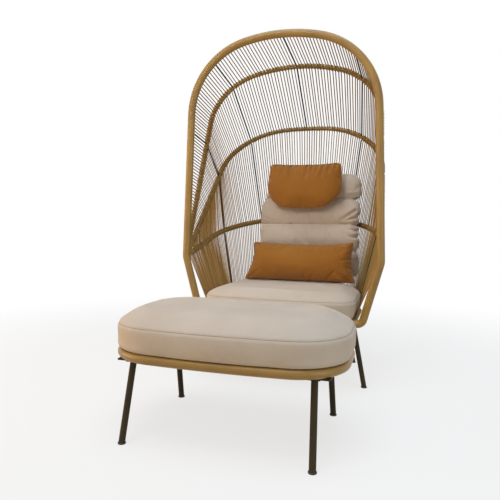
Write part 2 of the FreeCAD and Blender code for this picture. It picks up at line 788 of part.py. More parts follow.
seat_bottom = ring_top + size("rest_gap") + size("strap_thickness") + size("rest_gap")
seat_low = ring_box.YMin - size("seat_front_overhang") + size("seat_bow")
seat_high = ring_box.YMax + size("seat_overhang")
seat_corners = (
    size("ring_corner") + size("seat_front_overhang"),
    size("ring_shoulder") + size("seat_overhang") + size("seat_corner_ease"),
)
seat_half_width = ring_half_width + size("seat_overhang")
seat_pad("seat_cushion", SEAT_LEVELS, seat_half_width, seat_low,
         seat_high, seat_corners, size("seat_bow"), size("seat_thickness"),
         size("seat_crown_inset"), Vector(0, 0, seat_bottom))
stool_seat = stool_top + size("rest_gap") + size("strap_thickness") + size("rest_gap")
stool_reach = size("stool_cushion_half_depth") - size("stool_cushion_bow")
stool_corners = (size("stool_cushion_corner"), size("stool_cushion_corner"))
seat_pad("stool_cushion", STOOL_LEVELS, size("stool_cushion_half_width"), -stool_reach, stool_reach,
         stool_corners, size("stool_cushion_bow"), size("stool_cushion_thickness"),
         size("stool_cushion_crown_inset"), Vector(stool_middle, stool_center, stool_seat))


back_half_width = seat_half_width - size("back_side_room")
# Share of one roll's height and share of the crease's depth, from channel to channel
ROLL_PROFILE = [(0.0, 1.0), (0.2, 0.3), (0.5, 0.0), (0.8, 0.3)]
END_DRAW = 1.2


def roll_outline(draw, level):
    """Level section of the back cushion: flat in front, bowed behind like the shell it faces."""
    cut = size("back_crease_depth") * draw
    half_width = back_half_width - cut / 2
    half_depth = size("back_depth") / 2 - cut
    corner = size("back_front_corner") - cut / 2
    side = half_depth - size("back_rear_bow") + cut
    diagonal = corner * math.sqrt(0.5)
    front = -half_depth
    arc_x, arc_y = half_width - corner + diagonal, front + corner - diagonal
    front_left = Vector(-half_width + corner, front, level)
    front_right = Vector(half_width - corner, front, level)
    low_left, low_right = [Vector(sign * half_width, front + corner, level) for sign in (-1, 1)]
    rear_left, rear_right = [Vector(sign * half_width, side, level) for sign in (-1, 1)]
    edges = [
        Part.LineSegment(front_left, front_right),
        Part.Arc(front_right, Vector(arc_x, arc_y, level), low_right),
        Part.LineSegment(low_right, rear_right),
        Part.Arc(rear_right, Vector(0, half_depth, level), rear_left),
        Part.LineSegment(rear_left, low_left),
        Part.Arc(low_left, Vector(-arc_x, arc_y, level), front_left),
    ]
    return Part.Wire([edge.toShape() for edge in edges])


def back_cushion():
    """Upright cushion of rolls, drawn in at each sewn channel and at both ends."""
    rolls = int(size("back_rolls"))
    roll = size("back_height") / rolls
    outlines = [roll_outline(END_DRAW, 0)]
    for index in range(rolls):
        for share, draw in ROLL_PROFILE:
            if index or share:
                outlines.append(roll_outline(draw, roll * (index + share)))
    outlines.append(roll_outline(END_DRAW, size("back_height")))
    return Part.makeLoft(outlines, True, False)


seat_crown = seat_bottom + size("seat_thickness")
lean_back = Rotation(X_AXIS, -size("back_lean"))
back_shape = back_cushion()
back_box = back_shape.optimalBoundingBox()
back_foot = Vector(size("back_offset"),
                   ring_box.YMax + size("seat_overhang") - size("back_inset") - back_box.YMax,
                   seat_crown + size("rest_gap") + back_box.YMax * sine("back_lean"))
back = shape_part("back_cushion", back_shape)
back.Placement = Placement(back_foot, lean_back)


# Share of a pillow's depth and share of its outline, from its front to its seam
PILLOW_LEVELS = [(0.5, 0.62), (0.38, 0.84), (0.2, 0.95), (0.0, 1.0)]


def pillow(bottom_width, top_width, height, depth, draw):
    """Knife-edge pillow standing up: pointed corners and sides drawn in between them."""
    outlines = []
    front = [(-share, scale) for share, scale in PILLOW_LEVELS]
    levels = front + PILLOW_LEVELS[-2::-1]
    for share, scale in levels:
        low, high = bottom_width / 2 * scale, top_width / 2 * scale
        half = height / 2 * scale
        level = depth * share
        sag = draw * (1 - abs(2 * share))
        corners = [Vector(-low, level, -half), Vector(low, level, -half),
                   Vector(high, level, half), Vector(-high, level, half)]
        side_x = (low + high) / 2 - sag
        middles = [Vector(0, level, -half + sag / 2), Vector(side_x, level, 0),
                   Vector(0, level, half - sag / 2), Vector(-side_x, level, 0)]
        face = share in (levels[0][0], levels[-1][0])
        edges = []
        for index in range(4):
            start, end = corners[index], corners[(index + 1) % 4]
            side = Part.LineSegment(start, end) if face else Part.Arc(start, middles[index], end)
            edges.append(side.toShape())
        outlines.append(Part.Wire(edges))
    return Part.makeLoft(outlines, True, False)


def out_from_back(shape):
    """How far a pillow's middle stands out from the back cushion's, so that the two just clear."""
    return size("rest_gap") + shape.optimalBoundingBox().YMax - back_box.YMin


def lean_on_back(label, shape, sideways, up):
    """Lean a pillow on the back cushion's front, its middle at a height up that cushion."""
    middle = back_foot + lean_back.multVec(Vector(0, -out_from_back(shape), up))
    middle.x = sideways
    obj = shape_part(label, shape)
    obj.Placement = Placement(middle, lean_back)
    return obj


lumbar_shape = pillow(size("lumbar_bottom_width"), size("lumbar_top_width"),
                      size("lumbar_height"), size("lumbar_depth"), size("lumbar_draw"))
leaning = lumbar_shape.transformed(Placement(Vector(), lean_back).toMatrix())
lumbar_foot = leaning.optimalBoundingBox().ZMin + out_from_back(lumbar_shape) * sine("back_lean")
lumbar_up = (seat_crown + size("rest_gap") - back_foot.z - lumbar_foot) / cosine("back_lean")
lean_on_back("lumbar_pillow", lumbar_shape, size("lumbar_offset"), lumbar_up)

head_shape = pillow(size("head_width"), size("head_width"), size("head_height_size"),
                    size("head_depth"), size("head_draw"))
head_up = size("back_height") + size("head_top_rise") - size("head_height_size") / 2
head = lean_on_back("head_pillow", head_shape, size("head_offset"), head_up)


# Strap over the back cushion, with the weight that holds the head pillow up


def leaning_box(name, low, high):
    """Box in the back cushion's own leaning frame, between two corners."""
    box = doc.addObject("Part::Box", name)
    box.Length, box.Width, box.Height = high - low
    box.Placement = back.Placement.multiply(Placement(low, Rotation()))
    return box


strap_x = size("head_offset") - size("back_offset")
half_strap = size("hang_strap_width") / 2
band = size("hang_strap_thickness")
over = size("back_height") + size("rest_gap")
behind = back_box.YMax + size("rest_gap")
strap_foot = over - size("hang_strap_drop")
reach = size("head_depth") / 2 - back_box.YMin
top_band = leaning_box("strap_top", Vector(strap_x - half_strap, -reach, over),
                       Vector(strap_x + half_strap, behind + band, over + band))
rear_band = leaning_box("strap_rear", Vector(strap_x - half_strap, behind, strap_foot),
                        Vector(strap_x + half_strap, behind + band, over + band))
hang_strap = doc.addObject("Part::Cut", "head_pillow_strap")
hang_strap.Base = fuse("strap_bands", [top_band, rear_band])
hang_strap.Tool = head
part("head_pillow_strap", hang_strap)
half_weight = size("weight_width") / 2
weight_foot = strap_foot - size("weight_height")
part("head_pillow_weight", leaning_box(
    "head_pillow_weight", Vector(strap_x - half_weight, behind, weight_foot),
    Vector(strap_x + half_weight, behind + size("weight_thickness"), strap_foot)))


def check_and_write():
    """Stop at any failed object or bad shape, then write one file for each sub-part."""
    doc.recompute()
    for obj in doc.Objects:
        if "Invalid" in obj.State or "Error" in obj.State:
            raise RuntimeError(f"{obj.Label} did not compute: {obj.State}")
    for obj in nodes:
        if obj.Shape.isNull() or not obj.Shape.isValid() or not obj.Shape.Solids:
            raise RuntimeError(f"{obj.Label} has no valid shape")
    os.makedirs("parts", exist_ok=True)
    for obj in nodes:
        obj.Shape.exportStep(f"parts/{obj.Label}.step")
        solids = len(obj.Shape.Solids)
        print(f"{obj.Label}: {solids} solid(s), {obj.Shape.Volume / 1000:.1f} cm3")


check_and_write()
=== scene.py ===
"""Looks of the outdoor armchair: painted tubes, the strung shell, the cushions and the footstool.

Metres, +Z up, the sitter looks along -Y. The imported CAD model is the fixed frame. Tubes, legs and
bars keep their CAD shape and get their paint here. Cords, cushions, webbing and small hardware are
built anew on the same sizes, and stand for the plain solids of the frame.
"""
from __future__ import annotations

import json
import logging
import math
from dataclasses import dataclass
from enum import Enum
from typing import ClassVar, Iterable, Sequence

import bmesh
import bpy
import numpy as np
from mathutils import Matrix, Vector

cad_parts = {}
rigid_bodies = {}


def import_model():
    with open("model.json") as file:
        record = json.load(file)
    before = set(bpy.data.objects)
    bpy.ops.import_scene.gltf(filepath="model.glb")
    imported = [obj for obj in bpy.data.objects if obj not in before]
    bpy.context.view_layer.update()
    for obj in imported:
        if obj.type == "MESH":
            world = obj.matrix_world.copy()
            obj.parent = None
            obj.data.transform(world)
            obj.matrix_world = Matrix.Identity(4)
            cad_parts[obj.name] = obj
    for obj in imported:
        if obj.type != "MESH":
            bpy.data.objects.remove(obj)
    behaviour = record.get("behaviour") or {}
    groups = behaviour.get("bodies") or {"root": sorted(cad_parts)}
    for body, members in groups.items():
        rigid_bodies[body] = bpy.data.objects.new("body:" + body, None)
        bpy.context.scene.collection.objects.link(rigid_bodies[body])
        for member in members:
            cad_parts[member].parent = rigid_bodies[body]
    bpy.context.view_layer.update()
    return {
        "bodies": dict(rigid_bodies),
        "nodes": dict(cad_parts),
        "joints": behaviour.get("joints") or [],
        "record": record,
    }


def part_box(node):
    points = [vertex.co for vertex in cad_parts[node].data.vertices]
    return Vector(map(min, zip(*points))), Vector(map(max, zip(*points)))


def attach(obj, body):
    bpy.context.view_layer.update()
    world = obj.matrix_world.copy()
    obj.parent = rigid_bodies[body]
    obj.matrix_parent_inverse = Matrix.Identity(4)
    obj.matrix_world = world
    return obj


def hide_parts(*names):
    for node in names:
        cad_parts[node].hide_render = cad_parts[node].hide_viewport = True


LOG = logging.getLogger("armchair")
Colour = tuple[float, float, float]
Triple = tuple[float, float, float]
Pair = tuple[float, float]

HOOD_FRONT = 0.0386  # place of the front hoop's plane along Y
KINK = (0.463, 0.593)  # half width and height of the kinks that the hoops spring from
HOOP_LEAN = math.radians(2.0)  # how far the hoops' sides lean inwards
WEAVE_SEED = 7
SWELL_FRAMES = 20  # length of the cloth simulation

BACK_LEAN = 8.0  # lean of the back cushion and of all that lies on it, in degrees
BACK_FOOT = (0.040, 0.5299, 0.4658)  # foot of the back cushion
CHANNELS = (0.145, 0.290, 0.435)  # heights of its sewn channels above that foot
SEAT_SEAM, STOOL_SEAM = 0.4145, 0.4005  # heights of the seams round the flat cushions
STOOL_MIDDLE = (-0.024, HOOD_FRONT - 0.535)

FLOAT, OBJECT, PAINT = "NodeSocketFloat", "NodeSocketObject", "NodeSocketMaterial"


class Body(str, Enum):
    """Moving bodies of the frame."""

    CHAIR = "chair_frame"
    STOOL = "footstool"
    SEAT = "seat_cushion"
    BACK = "back_cushion"
    LUMBAR = "lumbar_pillow"
    HEAD = "head_pillow"
    STOOL_PAD = "stool_cushion"


class Slot(str, Enum):
    """Material slots of the record."""

    OCHRE = "ochre_metal"
    DARK = "dark_metal"
    CORD = "cord"
    COVER = "cushion_cover"
    PILLOW = "pillow_cover"
    WEBBING = "webbing"
    POUCH = "weight_pouch"
    GLIDE = "glide"
    BOLT = "bolt"


def srgb(red: int, green: int, blue: int) -> Colour:
    """Linear colour of an 8-bit sRGB one.

    Args:
        red, green, blue: levels from 0 to 255.

    Returns:
        Three linear levels.
    """
    levels = (value / 255 for value in (red, green, blue))
    return tuple(v / 12.92 if v <= 0.04045 else ((v + 0.055) / 1.055) ** 2.4 for v in levels)


# ---- Node trees written as expressions


class Graph:
    """Adds nodes to one tree, for shaders and for geometry alike."""

    def __init__(self, tree: bpy.types.NodeTree) -> None:
        """Keep the tree that nodes are added to."""
        self.tree = tree

    def node(self, kind: str, settings: dict | None = None,
             sockets: dict | None = None) -> bpy.types.Node:
        """Add one node.

        Args:
            kind: the node's type.
            settings: properties, set before the sockets.
            sockets: values or links by socket name or number; None leaves a socket as it is.

        Returns:
            The new node.
        """
        made = self.tree.nodes.new(kind)
        for name, value in (settings or {}).items():
            setattr(made, name, value)
        for key, value in (sockets or {}).items():
            if value is not None:
                self.feed(made.inputs[key], value)
        return made

    def feed(self, socket: bpy.types.NodeSocket, value: object) -> None:
        """Set a socket's value, or link it to a term or another socket."""
        source = value.socket if isinstance(value, Term) else value
        if isinstance(source, bpy.types.NodeSocket):
            self.tree.links.new(source, socket)
        elif socket.type == "RGBA" and len(source) == 3:
            socket.default_value = (*source, 1.0)
        else:
            socket.default_value = source

    def term(self, kind: str, settings: dict | None = None, sockets: dict | None = None,
             output: str | int = 0) -> Term:
        """Add one node and give its output as a term."""
        return Term(self, self.node(kind, settings, sockets).outputs[output])

    def mix(self, share: object, low: object, high: object) -> Term:
        """Blend of two colours, by the node's colour sockets: inputs 6 and 7, output 2."""
        sockets = {0: share, 6: low, 7: high}
        return self.term("ShaderNodeMix", {"data_type": "RGBA"}, sockets, 2)

    def vector(self, operation: str, *values: object, output: int = 0) -> Term:
        """Vector Math node on up to three values."""
        sockets = dict(enumerate(values))
        return self.term("ShaderNodeVectorMath", {"operation": operation}, sockets, output)

    def parts(self, value: object) -> tuple[Term, Term, Term]:
        """The three numbers of a vector."""
        split = self.node("ShaderNodeSeparateXYZ", None, {0: value})
        return tuple(Term(self, socket) for socket in split.outputs)

    def joined(self, x: object, y: object, z: object) -> Term:
        """Vector of three numbers."""
        return self.term("ShaderNodeCombineXYZ", None, {0: x, 1: y, 2: z})

    def noise(self, place: object, scale: float, detail: float = 2.0, rough: float = 0.5,
              stretch: Triple | None = None) -> Term:
        """Noise from 0 to 1 at a place, which may be stretched along the axes first."""
        if stretch:
            place = self.vector("MULTIPLY", place, stretch)
        sockets = {"Vector": place, "Scale": scale, "Detail": detail, "Roughness": rough}
        return self.term("ShaderNodeTexNoise", None, sockets)


@dataclass(frozen=True)
class Term:
    """Output socket that can stand in arithmetic."""

    graph: Graph
    socket: bpy.types.NodeSocket

    def act(self, operation: str, *others: object, first: object = None) -> Term:
        """Math node on this term and others, or with another value first."""
        values = [self, *others] if first is None else [first, self, *others]
        settings = {"operation": operation}
        return self.graph.term("ShaderNodeMath", settings, dict(enumerate(values)))

    def __add__(self, other: object) -> Term:
        """Sum."""
        return self.act("ADD", other)

    __radd__ = __add__

    def __sub__(self, other: object) -> Term:
        """Difference."""
        return self.act("SUBTRACT", other)

    def __rsub__(self, other: object) -> Term:
        """Difference, this term taken off."""
        return self.act("SUBTRACT", first=other)

    def __mul__(self, other: object) -> Term:
        """Product."""
        return self.act("MULTIPLY", other)

    __rmul__ = __mul__

    def __truediv__(self, other: object) -> Term:
        """Quotient."""
        return self.act("DIVIDE", other)

    def band(self, low: float, high: float) -> Term:
        """0 below low, 1 above high and smooth between; low may be the larger."""
        settings = {"interpolation_type": "SMOOTHSTEP"}
        sockets = {0: self, 1: min(low, high), 2: max(low, high)}
        sockets |= {3: 0.0, 4: 1.0} if low < high else {3: 1.0, 4: 0.0}
        return self.graph.term("ShaderNodeMapRange", settings, sockets)

    def wave(self, length: float) -> Term:
        """Sine wave of a given length, from 0 to 1."""
        return (self * (2 * math.pi / length)).act("SINE") * 0.5 + 0.5

    def far(self, other: object) -> Term:
        """Distance from another value."""
        return (self - other).act("ABSOLUTE")


# ---- Finishes


def new_material(name: str) -> tuple[bpy.types.Material, Graph]:
    """Material without nodes, and the graph that fills it."""
    made = bpy.data.materials.new(name)
    made.use_nodes = True
    made.node_tree.nodes.clear()
    return made, Graph(made.node_tree)


def object_place(graph: Graph) -> Term:
    """Place in the object's own coordinates."""
    return graph.term("ShaderNodeTexCoord", output="Object")


@dataclass(frozen=True)
class Finish:
    """Base of every finish: a principled surface fed by its own pattern.

    rough is the surface's roughness before the pattern adds to it, and depth is the height of
    the pattern's relief in metres.
    """

    name: str
    colour: Colour
    shade: Colour
    rough: float
    depth: float = 0.0003
    specular: float = 0.4

    def material(self) -> bpy.types.Material:
        """Build the material.

        Returns:
            A new material with this finish's nodes.
        """
        made, graph = new_material(self.name)
        colour, rough, height = self.pattern(graph, object_place(graph))
        sockets = {"Strength": 1.0, "Distance": self.depth, "Height": height}
        bump = graph.node("ShaderNodeBump", None, sockets)
        sockets = {"Base Color": colour, "Roughness": rough, "Normal": bump.outputs[0]}
        shader = graph.node("ShaderNodeBsdfPrincipled", None, sockets | self.gloss())
        graph.node("ShaderNodeOutputMaterial", None, {"Surface": shader.outputs[0]})
        return made

    def gloss(self) -> dict:
        """Plain values of the shader's other sockets."""
        return {"Specular IOR Level": self.specular}

    def pattern(self, graph: Graph, place: Term) -> tuple[Term, Term, Term]:
        """Colour, roughness and height from 0 to 1."""
        raise NotImplementedError


@dataclass(frozen=True)
class TubePaint(Finish):
    """Powder coat with a fine orange peel, a slow drift of colour and faint rub marks."""

    depth: float = 0.00012
    specular: float = 0.45
    peel: float = 0.0011

    def pattern(self, graph: Graph, place: Term) -> tuple[Term, Term, Term]:
        """Peel, drift and rub marks."""
        drift = graph.noise(place, 5.0, 3.0).band(0.35, 0.7)
        fleck = graph.noise(place, 620.0, 1.0).band(0.45, 0.75)
        rub = graph.noise(place, 1.0, 4.0, 0.7, (9.0, 9.0, 60.0)).band(0.62, 0.8)
        colour = graph.mix(drift * 0.75 + fleck * 0.25, self.colour, self.shade)
        rough = rub * -0.12 + fleck * 0.08 + self.rough
        return colour, rough, graph.noise(place, 1 / self.peel)


@dataclass(frozen=True)
class CordBraid(Finish):
    """Braided cord: slanted strands from the cord's own map, each cord in a tone of its own."""

    depth: float = 0.0004
    specular: float = 0.25
    lay: float = 0.0075
    strands: int = 4

    def pattern(self, graph: Graph, place: Term) -> tuple[Term, Term, Term]:
        """Two crossed sets of strands over a toned yarn, with painted shade between the strands."""
        across, along, _ = graph.parts(graph.term("ShaderNodeUVMap", {"uv_map": "cord_map"}))
        tone = graph.term("ShaderNodeAttribute", {"attribute_name": "tone"}, output="Fac")
        left = (across * self.strands + along / self.lay).wave(1.0)
        right = (across * self.strands - along / self.lay).wave(1.0)
        strand = left.act("MAXIMUM", right)
        fibre = graph.noise(place, 900.0)
        # painted shade: (1 - strand) darkens the yarn where the strands sink, between them
        share = tone * 0.5 + (1 - strand) * 0.35 + (fibre - 0.5) * 0.3
        colour = graph.mix(share.band(0.0, 1.0), self.colour, self.shade)
        return colour, fibre * 0.15 + self.rough, strand * 0.8 + fibre * 0.2


@dataclass(frozen=True)
class WovenCover(Finish):
    """Plain weave seen from every side, with heathered yarn, a soft nap, painted shade in the
    weave's hollows and sewn lines darkened by painted shade.

    lines holds the places along direction where a seam runs.
    """

    depth: float = 0.00035
    specular: float = 0.2
    thread: float = 0.0014
    direction: Triple = (0.0, 0.0, 1.0)
    lines: tuple[float, ...] = ()
    line_width: float = 0.0012
    heather: float = 0.25

    def gloss(self) -> dict:
        """Soft cloth sheen."""
        return super().gloss() | {"Sheen Weight": 0.25, "Sheen Roughness": 0.5}

    def weave(self, first: Term, second: Term) -> Term:
        """Height of over and under threads in one plane."""
        warp, weft = first.wave(self.thread), second.wave(self.thread)
        return warp * weft + (1 - warp) * (1 - weft)

    def pattern(self, graph: Graph, place: Term) -> tuple[Term, Term, Term]:
        """Weave, heather, drift and seams, with painted shade in the weave's hollows and along the
        seams.
        """
        x, y, z = graph.parts(place)
        facing = graph.vector("ABSOLUTE", graph.term("ShaderNodeNewGeometry", output="Normal"))
        nx, ny, nz = (value * value for value in graph.parts(facing))
        weave = self.weave(y, z) * nx + self.weave(x, z) * ny + self.weave(x, y) * nz
        slubs = [graph.noise(place, 1.0, stretch=stretch)
                 for stretch in ((60.0, 900.0, 900.0), (900.0, 900.0, 60.0))]
        heather = (slubs[0] + slubs[1]) * 0.5
        drift = graph.noise(place, 6.0, 3.0)
        # painted shade: (1 - weave) darkens the yarn in the weave's hollows
        share = (heather - 0.5) * 2.2 * self.heather + (drift - 0.5) * 0.5 + (1 - weave) * 0.22
        colour = graph.mix((share + 0.15).band(-0.1, 0.9), self.colour, self.shade)
        height = weave * 0.35 + heather * 0.35
        if self.lines:
            level = graph.vector("DOT_PRODUCT", place, self.direction, output=1)
            near, *others = (level.far(line) for line in self.lines)
            for gap in others:
                near = near.act("MINIMUM", gap)
            seam = near.band(self.line_width, self.line_width * 0.25)
            # painted shade: a dark line along each seam's groove, a quarter of the shade colour
            colour = graph.mix(seam * 0.6, colour, tuple(value * 0.25 for value in self.shade))
            height = height - seam * 1.5
        return colour, heather * 0.1 + self.rough, height


@dataclass(frozen=True)
class Band(Finish):
    """Ribbed woven band: cross ribs every few millimetres and fine yarns between them."""

    rib: float = 0.0022

    def pattern(self, graph: Graph, place: Term) -> tuple[Term, Term, Term]:
        """Ribs and yarns, with painted shade between the ribs."""
        x, y, z = graph.parts(place)
        ribs = (x + z).wave(self.rib)
        yarn = y.wave(self.rib * 0.5)
        fluff = graph.noise(place, 500.0)
        # painted shade: (1 - ribs) darkens the band between its ribs
        colour = graph.mix(fluff * 0.6 + (1 - ribs) * 0.4, self.colour, self.shade)
        return colour, fluff * 0.1 + self.rough, ribs * 0.7 + yarn * 0.3


@dataclass(frozen=True)
class Hardware(Finish):
    """Plastic or steel with a brushed or cast grain."""

    depth: float = 0.00008
    specular: float = 0.5
    metallic: float = 0.0
    grain: float = 350.0

    def gloss(self) -> dict:
        """Metal or plastic."""
        return super().gloss() | {"Metallic": self.metallic}

    def pattern(self, graph: Graph, place: Term) -> tuple[Term, Term, Term]:
        """Grain and handling marks."""
        grain = graph.noise(place, self.grain, stretch=(1.0, 1.0, 0.15))
        marks = graph.noise(place, 40.0, 4.0).band(0.45, 0.7)
        colour = graph.mix(marks * 0.6, self.colour, self.shade)
        return colour, marks * 0.15 + grain * 0.1 + self.rough, grain


class Finishes:
    """Every material of the object, made once."""

    def __init__(self) -> None:
        """Build the materials; the covers show seams, darkened by painted shade, where the cushions
        are sewn.
        """
        stone = srgb(211, 199, 187), srgb(176, 158, 140)
        rust = srgb(166, 109, 40), srgb(126, 80, 26)
        ochre = srgb(158, 124, 60), srgb(138, 105, 48)
        umber = srgb(68, 59, 43), srgb(48, 41, 28)
        yarn = srgb(172, 140, 84), srgb(124, 95, 52)
        soot = srgb(58, 54, 50), srgb(34, 32, 30)
        black = srgb(48, 47, 45), srgb(32, 31, 30)
        zinc = srgb(190, 190, 186), srgb(140, 138, 132)
        tilt = math.radians(BACK_LEAN)
        up = (0.0, math.sin(tilt), math.cos(tilt))
        foot = BACK_FOOT[1] * up[1] + BACK_FOOT[2] * up[2]
        rolls = tuple(foot + channel for channel in CHANNELS)
        self.ochre = TubePaint("ochre_powder_coat", *ochre, 0.36).material()
        self.dark = TubePaint("umber_powder_coat", *umber, 0.55, specular=0.12).material()
        self.cord = CordBraid("braided_cord", *yarn, 0.7).material()
        self.seat = WovenCover("seat_cover", *stone, 0.85, lines=(SEAT_SEAM,)).material()
        self.stool = WovenCover("footstool_cover", *stone, 0.85, lines=(STOOL_SEAM,)).material()
        self.back = WovenCover("back_cover", *stone, 0.85, direction=up, lines=rolls).material()
        self.pillow = WovenCover("pillow_cover", *rust, 0.8, thread=0.0011,
                                 heather=0.2).material()
        self.pouch = WovenCover("pouch_cover", *rust, 0.85).material()
        self.band = Band("webbing_band", *soot, 0.8).material()
        self.strap = Band("head_strap_band", *rust, 0.8, rib=0.0018).material()
        self.glide = Hardware("glide_plastic", *black, 0.55).material()
        self.bolt = Hardware("zinc_bolt", *zinc, 0.35, metallic=1.0).material()

    def by_slot(self) -> dict[Slot, bpy.types.Material]:
        """Material of each slot, for the nodes of the frame."""
        return {Slot.OCHRE: self.ochre, Slot.DARK: self.dark, Slot.CORD: self.cord,
                Slot.COVER: self.seat, Slot.PILLOW: self.pillow, Slot.WEBBING: self.band,
                Slot.POUCH: self.pouch, Slot.GLIDE: self.glide, Slot.BOLT: self.bolt}


# ---- Mesh helpers


def add_object(name: str, data: bpy.types.ID) -> bpy.types.Object:
    """New object in the scene."""
    made = bpy.data.objects.new(name, data)
    bpy.context.scene.collection.objects.link(made)
    return made


def mesh_object(name: str, points: Iterable, faces: Iterable,
                smooth: bool = True) -> bpy.types.Object:
    """New mesh object at the origin.

    Args:
        name: the piece's name.
        points: vertex places.
        faces: vertex numbers of each face.
        smooth: whether faces shade smoothly.

    Returns:
        The linked object, its normals turned outwards.
    """
    mesh = bpy.data.meshes.new(name)
    mesh.from_pydata([tuple(point) for point in points], [], [tuple(face) for face in faces])
    work = bmesh.new()
    work.from_mesh(mesh)
    bmesh.ops.remove_doubles(work, verts=work.verts, dist=1e-6)
    bmesh.ops.recalc_face_normals(work, faces=work.faces)
    work.to_mesh(mesh)
    work.free()
    mesh.shade_smooth() if smooth else mesh.shade_flat()
    return add_object(name, mesh)


def dress(obj: bpy.types.Object, material: bpy.types.Material) -> None:
    """Give an object one material."""
    obj.data.materials.clear()
    obj.data.materials.append(material)


def evaluated_mesh(obj: bpy.types.Object) -> bpy.types.Mesh:
    """Plain copy of an object's mesh with its modifiers applied."""
    graph = bpy.context.evaluated_depsgraph_get()
    return bpy.data.meshes.new_from_object(obj.evaluated_get(graph))


def apply_modifiers(obj: bpy.types.Object) -> None:
    """Bake an object's modifiers into its mesh."""
    mesh = evaluated_mesh(obj)
    obj.modifiers.clear()
    obj.data = mesh


def places(mesh: bpy.types.Mesh) -> np.ndarray:
    """Vertex places of a mesh as an array."""
    flat = np.empty(len(mesh.vertices) * 3)
    mesh.vertices.foreach_get("co", flat)
    return flat.reshape(-1, 3)


def move_to(obj: bpy.types.Object, points: np.ndarray) -> None:
    """Write vertex places back to a mesh object."""
    obj.data.vertices.foreach_set("co", points.astype(np.float32).ravel())
    obj.data.update()


def finish_piece(obj: bpy.types.Object, body: Body, nodes: Sequence[str] = ()) -> None:
    """Parent a piece to the body that it rides on and hide the nodes that it stands for."""
    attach(obj, body.value)
    if nodes:
        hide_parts(*nodes)
    LOG.info("%s: %d faces, rides on %s", obj.name, len(obj.data.polygons), body.value)


def loft(rings: Sequence[np.ndarray]) -> tuple[np.ndarray, list[tuple[int, ...]]]:
    """Closed surface through level rings of equal length, capped at both ends."""
    count = len(rings[0])
    faces = [tuple(range(count))[::-1]]
    for level in range(len(rings) - 1):
        low, high = level * count, (level + 1) * count
        for index in range(count):
            after = (index + 1) % count
            faces.append((low + index, low + after, high + after, high + index))
    top = (len(rings) - 1) * count
    faces.append(tuple(range(top, top + count)))
    return np.vstack(rings), faces


def even_steps(line: np.ndarray, count: int, closed: bool) -> np.ndarray:
    """Points at equal steps along a line."""
    path = np.vstack([line, line[:1]]) if closed else line
    reach = np.concatenate([[0.0], np.cumsum(np.linalg.norm(np.diff(path, axis=0), axis=1))])
    stops = np.linspace(0.0, reach[-1], count, endpoint=not closed)
    return np.column_stack([np.interp(stops, reach, values) for values in path.T])


# ---- Camera, light and floor


@dataclass(frozen=True)
class Lamp:
    """Square area lamp that faces a point, its beam no wider than the spread in degrees."""

    name: str
    spot: Triple
    aim: Triple
    power: float
    width: float
    colour: Colour
    spread: float = 180.0

    def build(self) -> None:
        """Add the lamp."""
        data = bpy.data.lights.new(self.name, "AREA")
        data.energy, data.size, data.color = self.power, self.width, self.colour
        data.spread = math.radians(self.spread)
        lamp = add_object(self.name, data)
        lamp.location = self.spot
        way = Vector(self.aim) - Vector(self.spot)
        lamp.rotation_euler = way.to_track_quat("-Z", "Y").to_euler()


LAMPS = (
    Lamp("key", (-1.2, -2.4, 3.8), (0.0, 0.0, 0.6), 34.0, 2.4, (1.0, 0.91, 0.79)),
    Lamp("top", (0.2, -1.2, 7.0), (0.0, -0.3, 0.4), 262.0, 4.8, (0.72, 0.87, 1.0)),
    Lamp("side", (-3.0, -1.2, 1.1), (-0.2, -0.1, 0.7), 40.0, 1.6, (1.0, 0.64, 0.34)),
    Lamp("right", (3.0, -1.9, 0.9), (0.4, -0.3, 0.4), 18.0, 1.4, (0.82, 0.92, 1.0)),
    Lamp("back fill", (-0.5, -2.3, 2.2), (0.05, 0.5, 0.88), 1.5, 0.8, (1.0, 0.95, 0.88), 44.0),
    Lamp("rear", (0.6, 3.2, 2.8), (0.0, 0.2, 1.0), 22.0, 2.4, (0.95, 0.97, 1.0)),
)


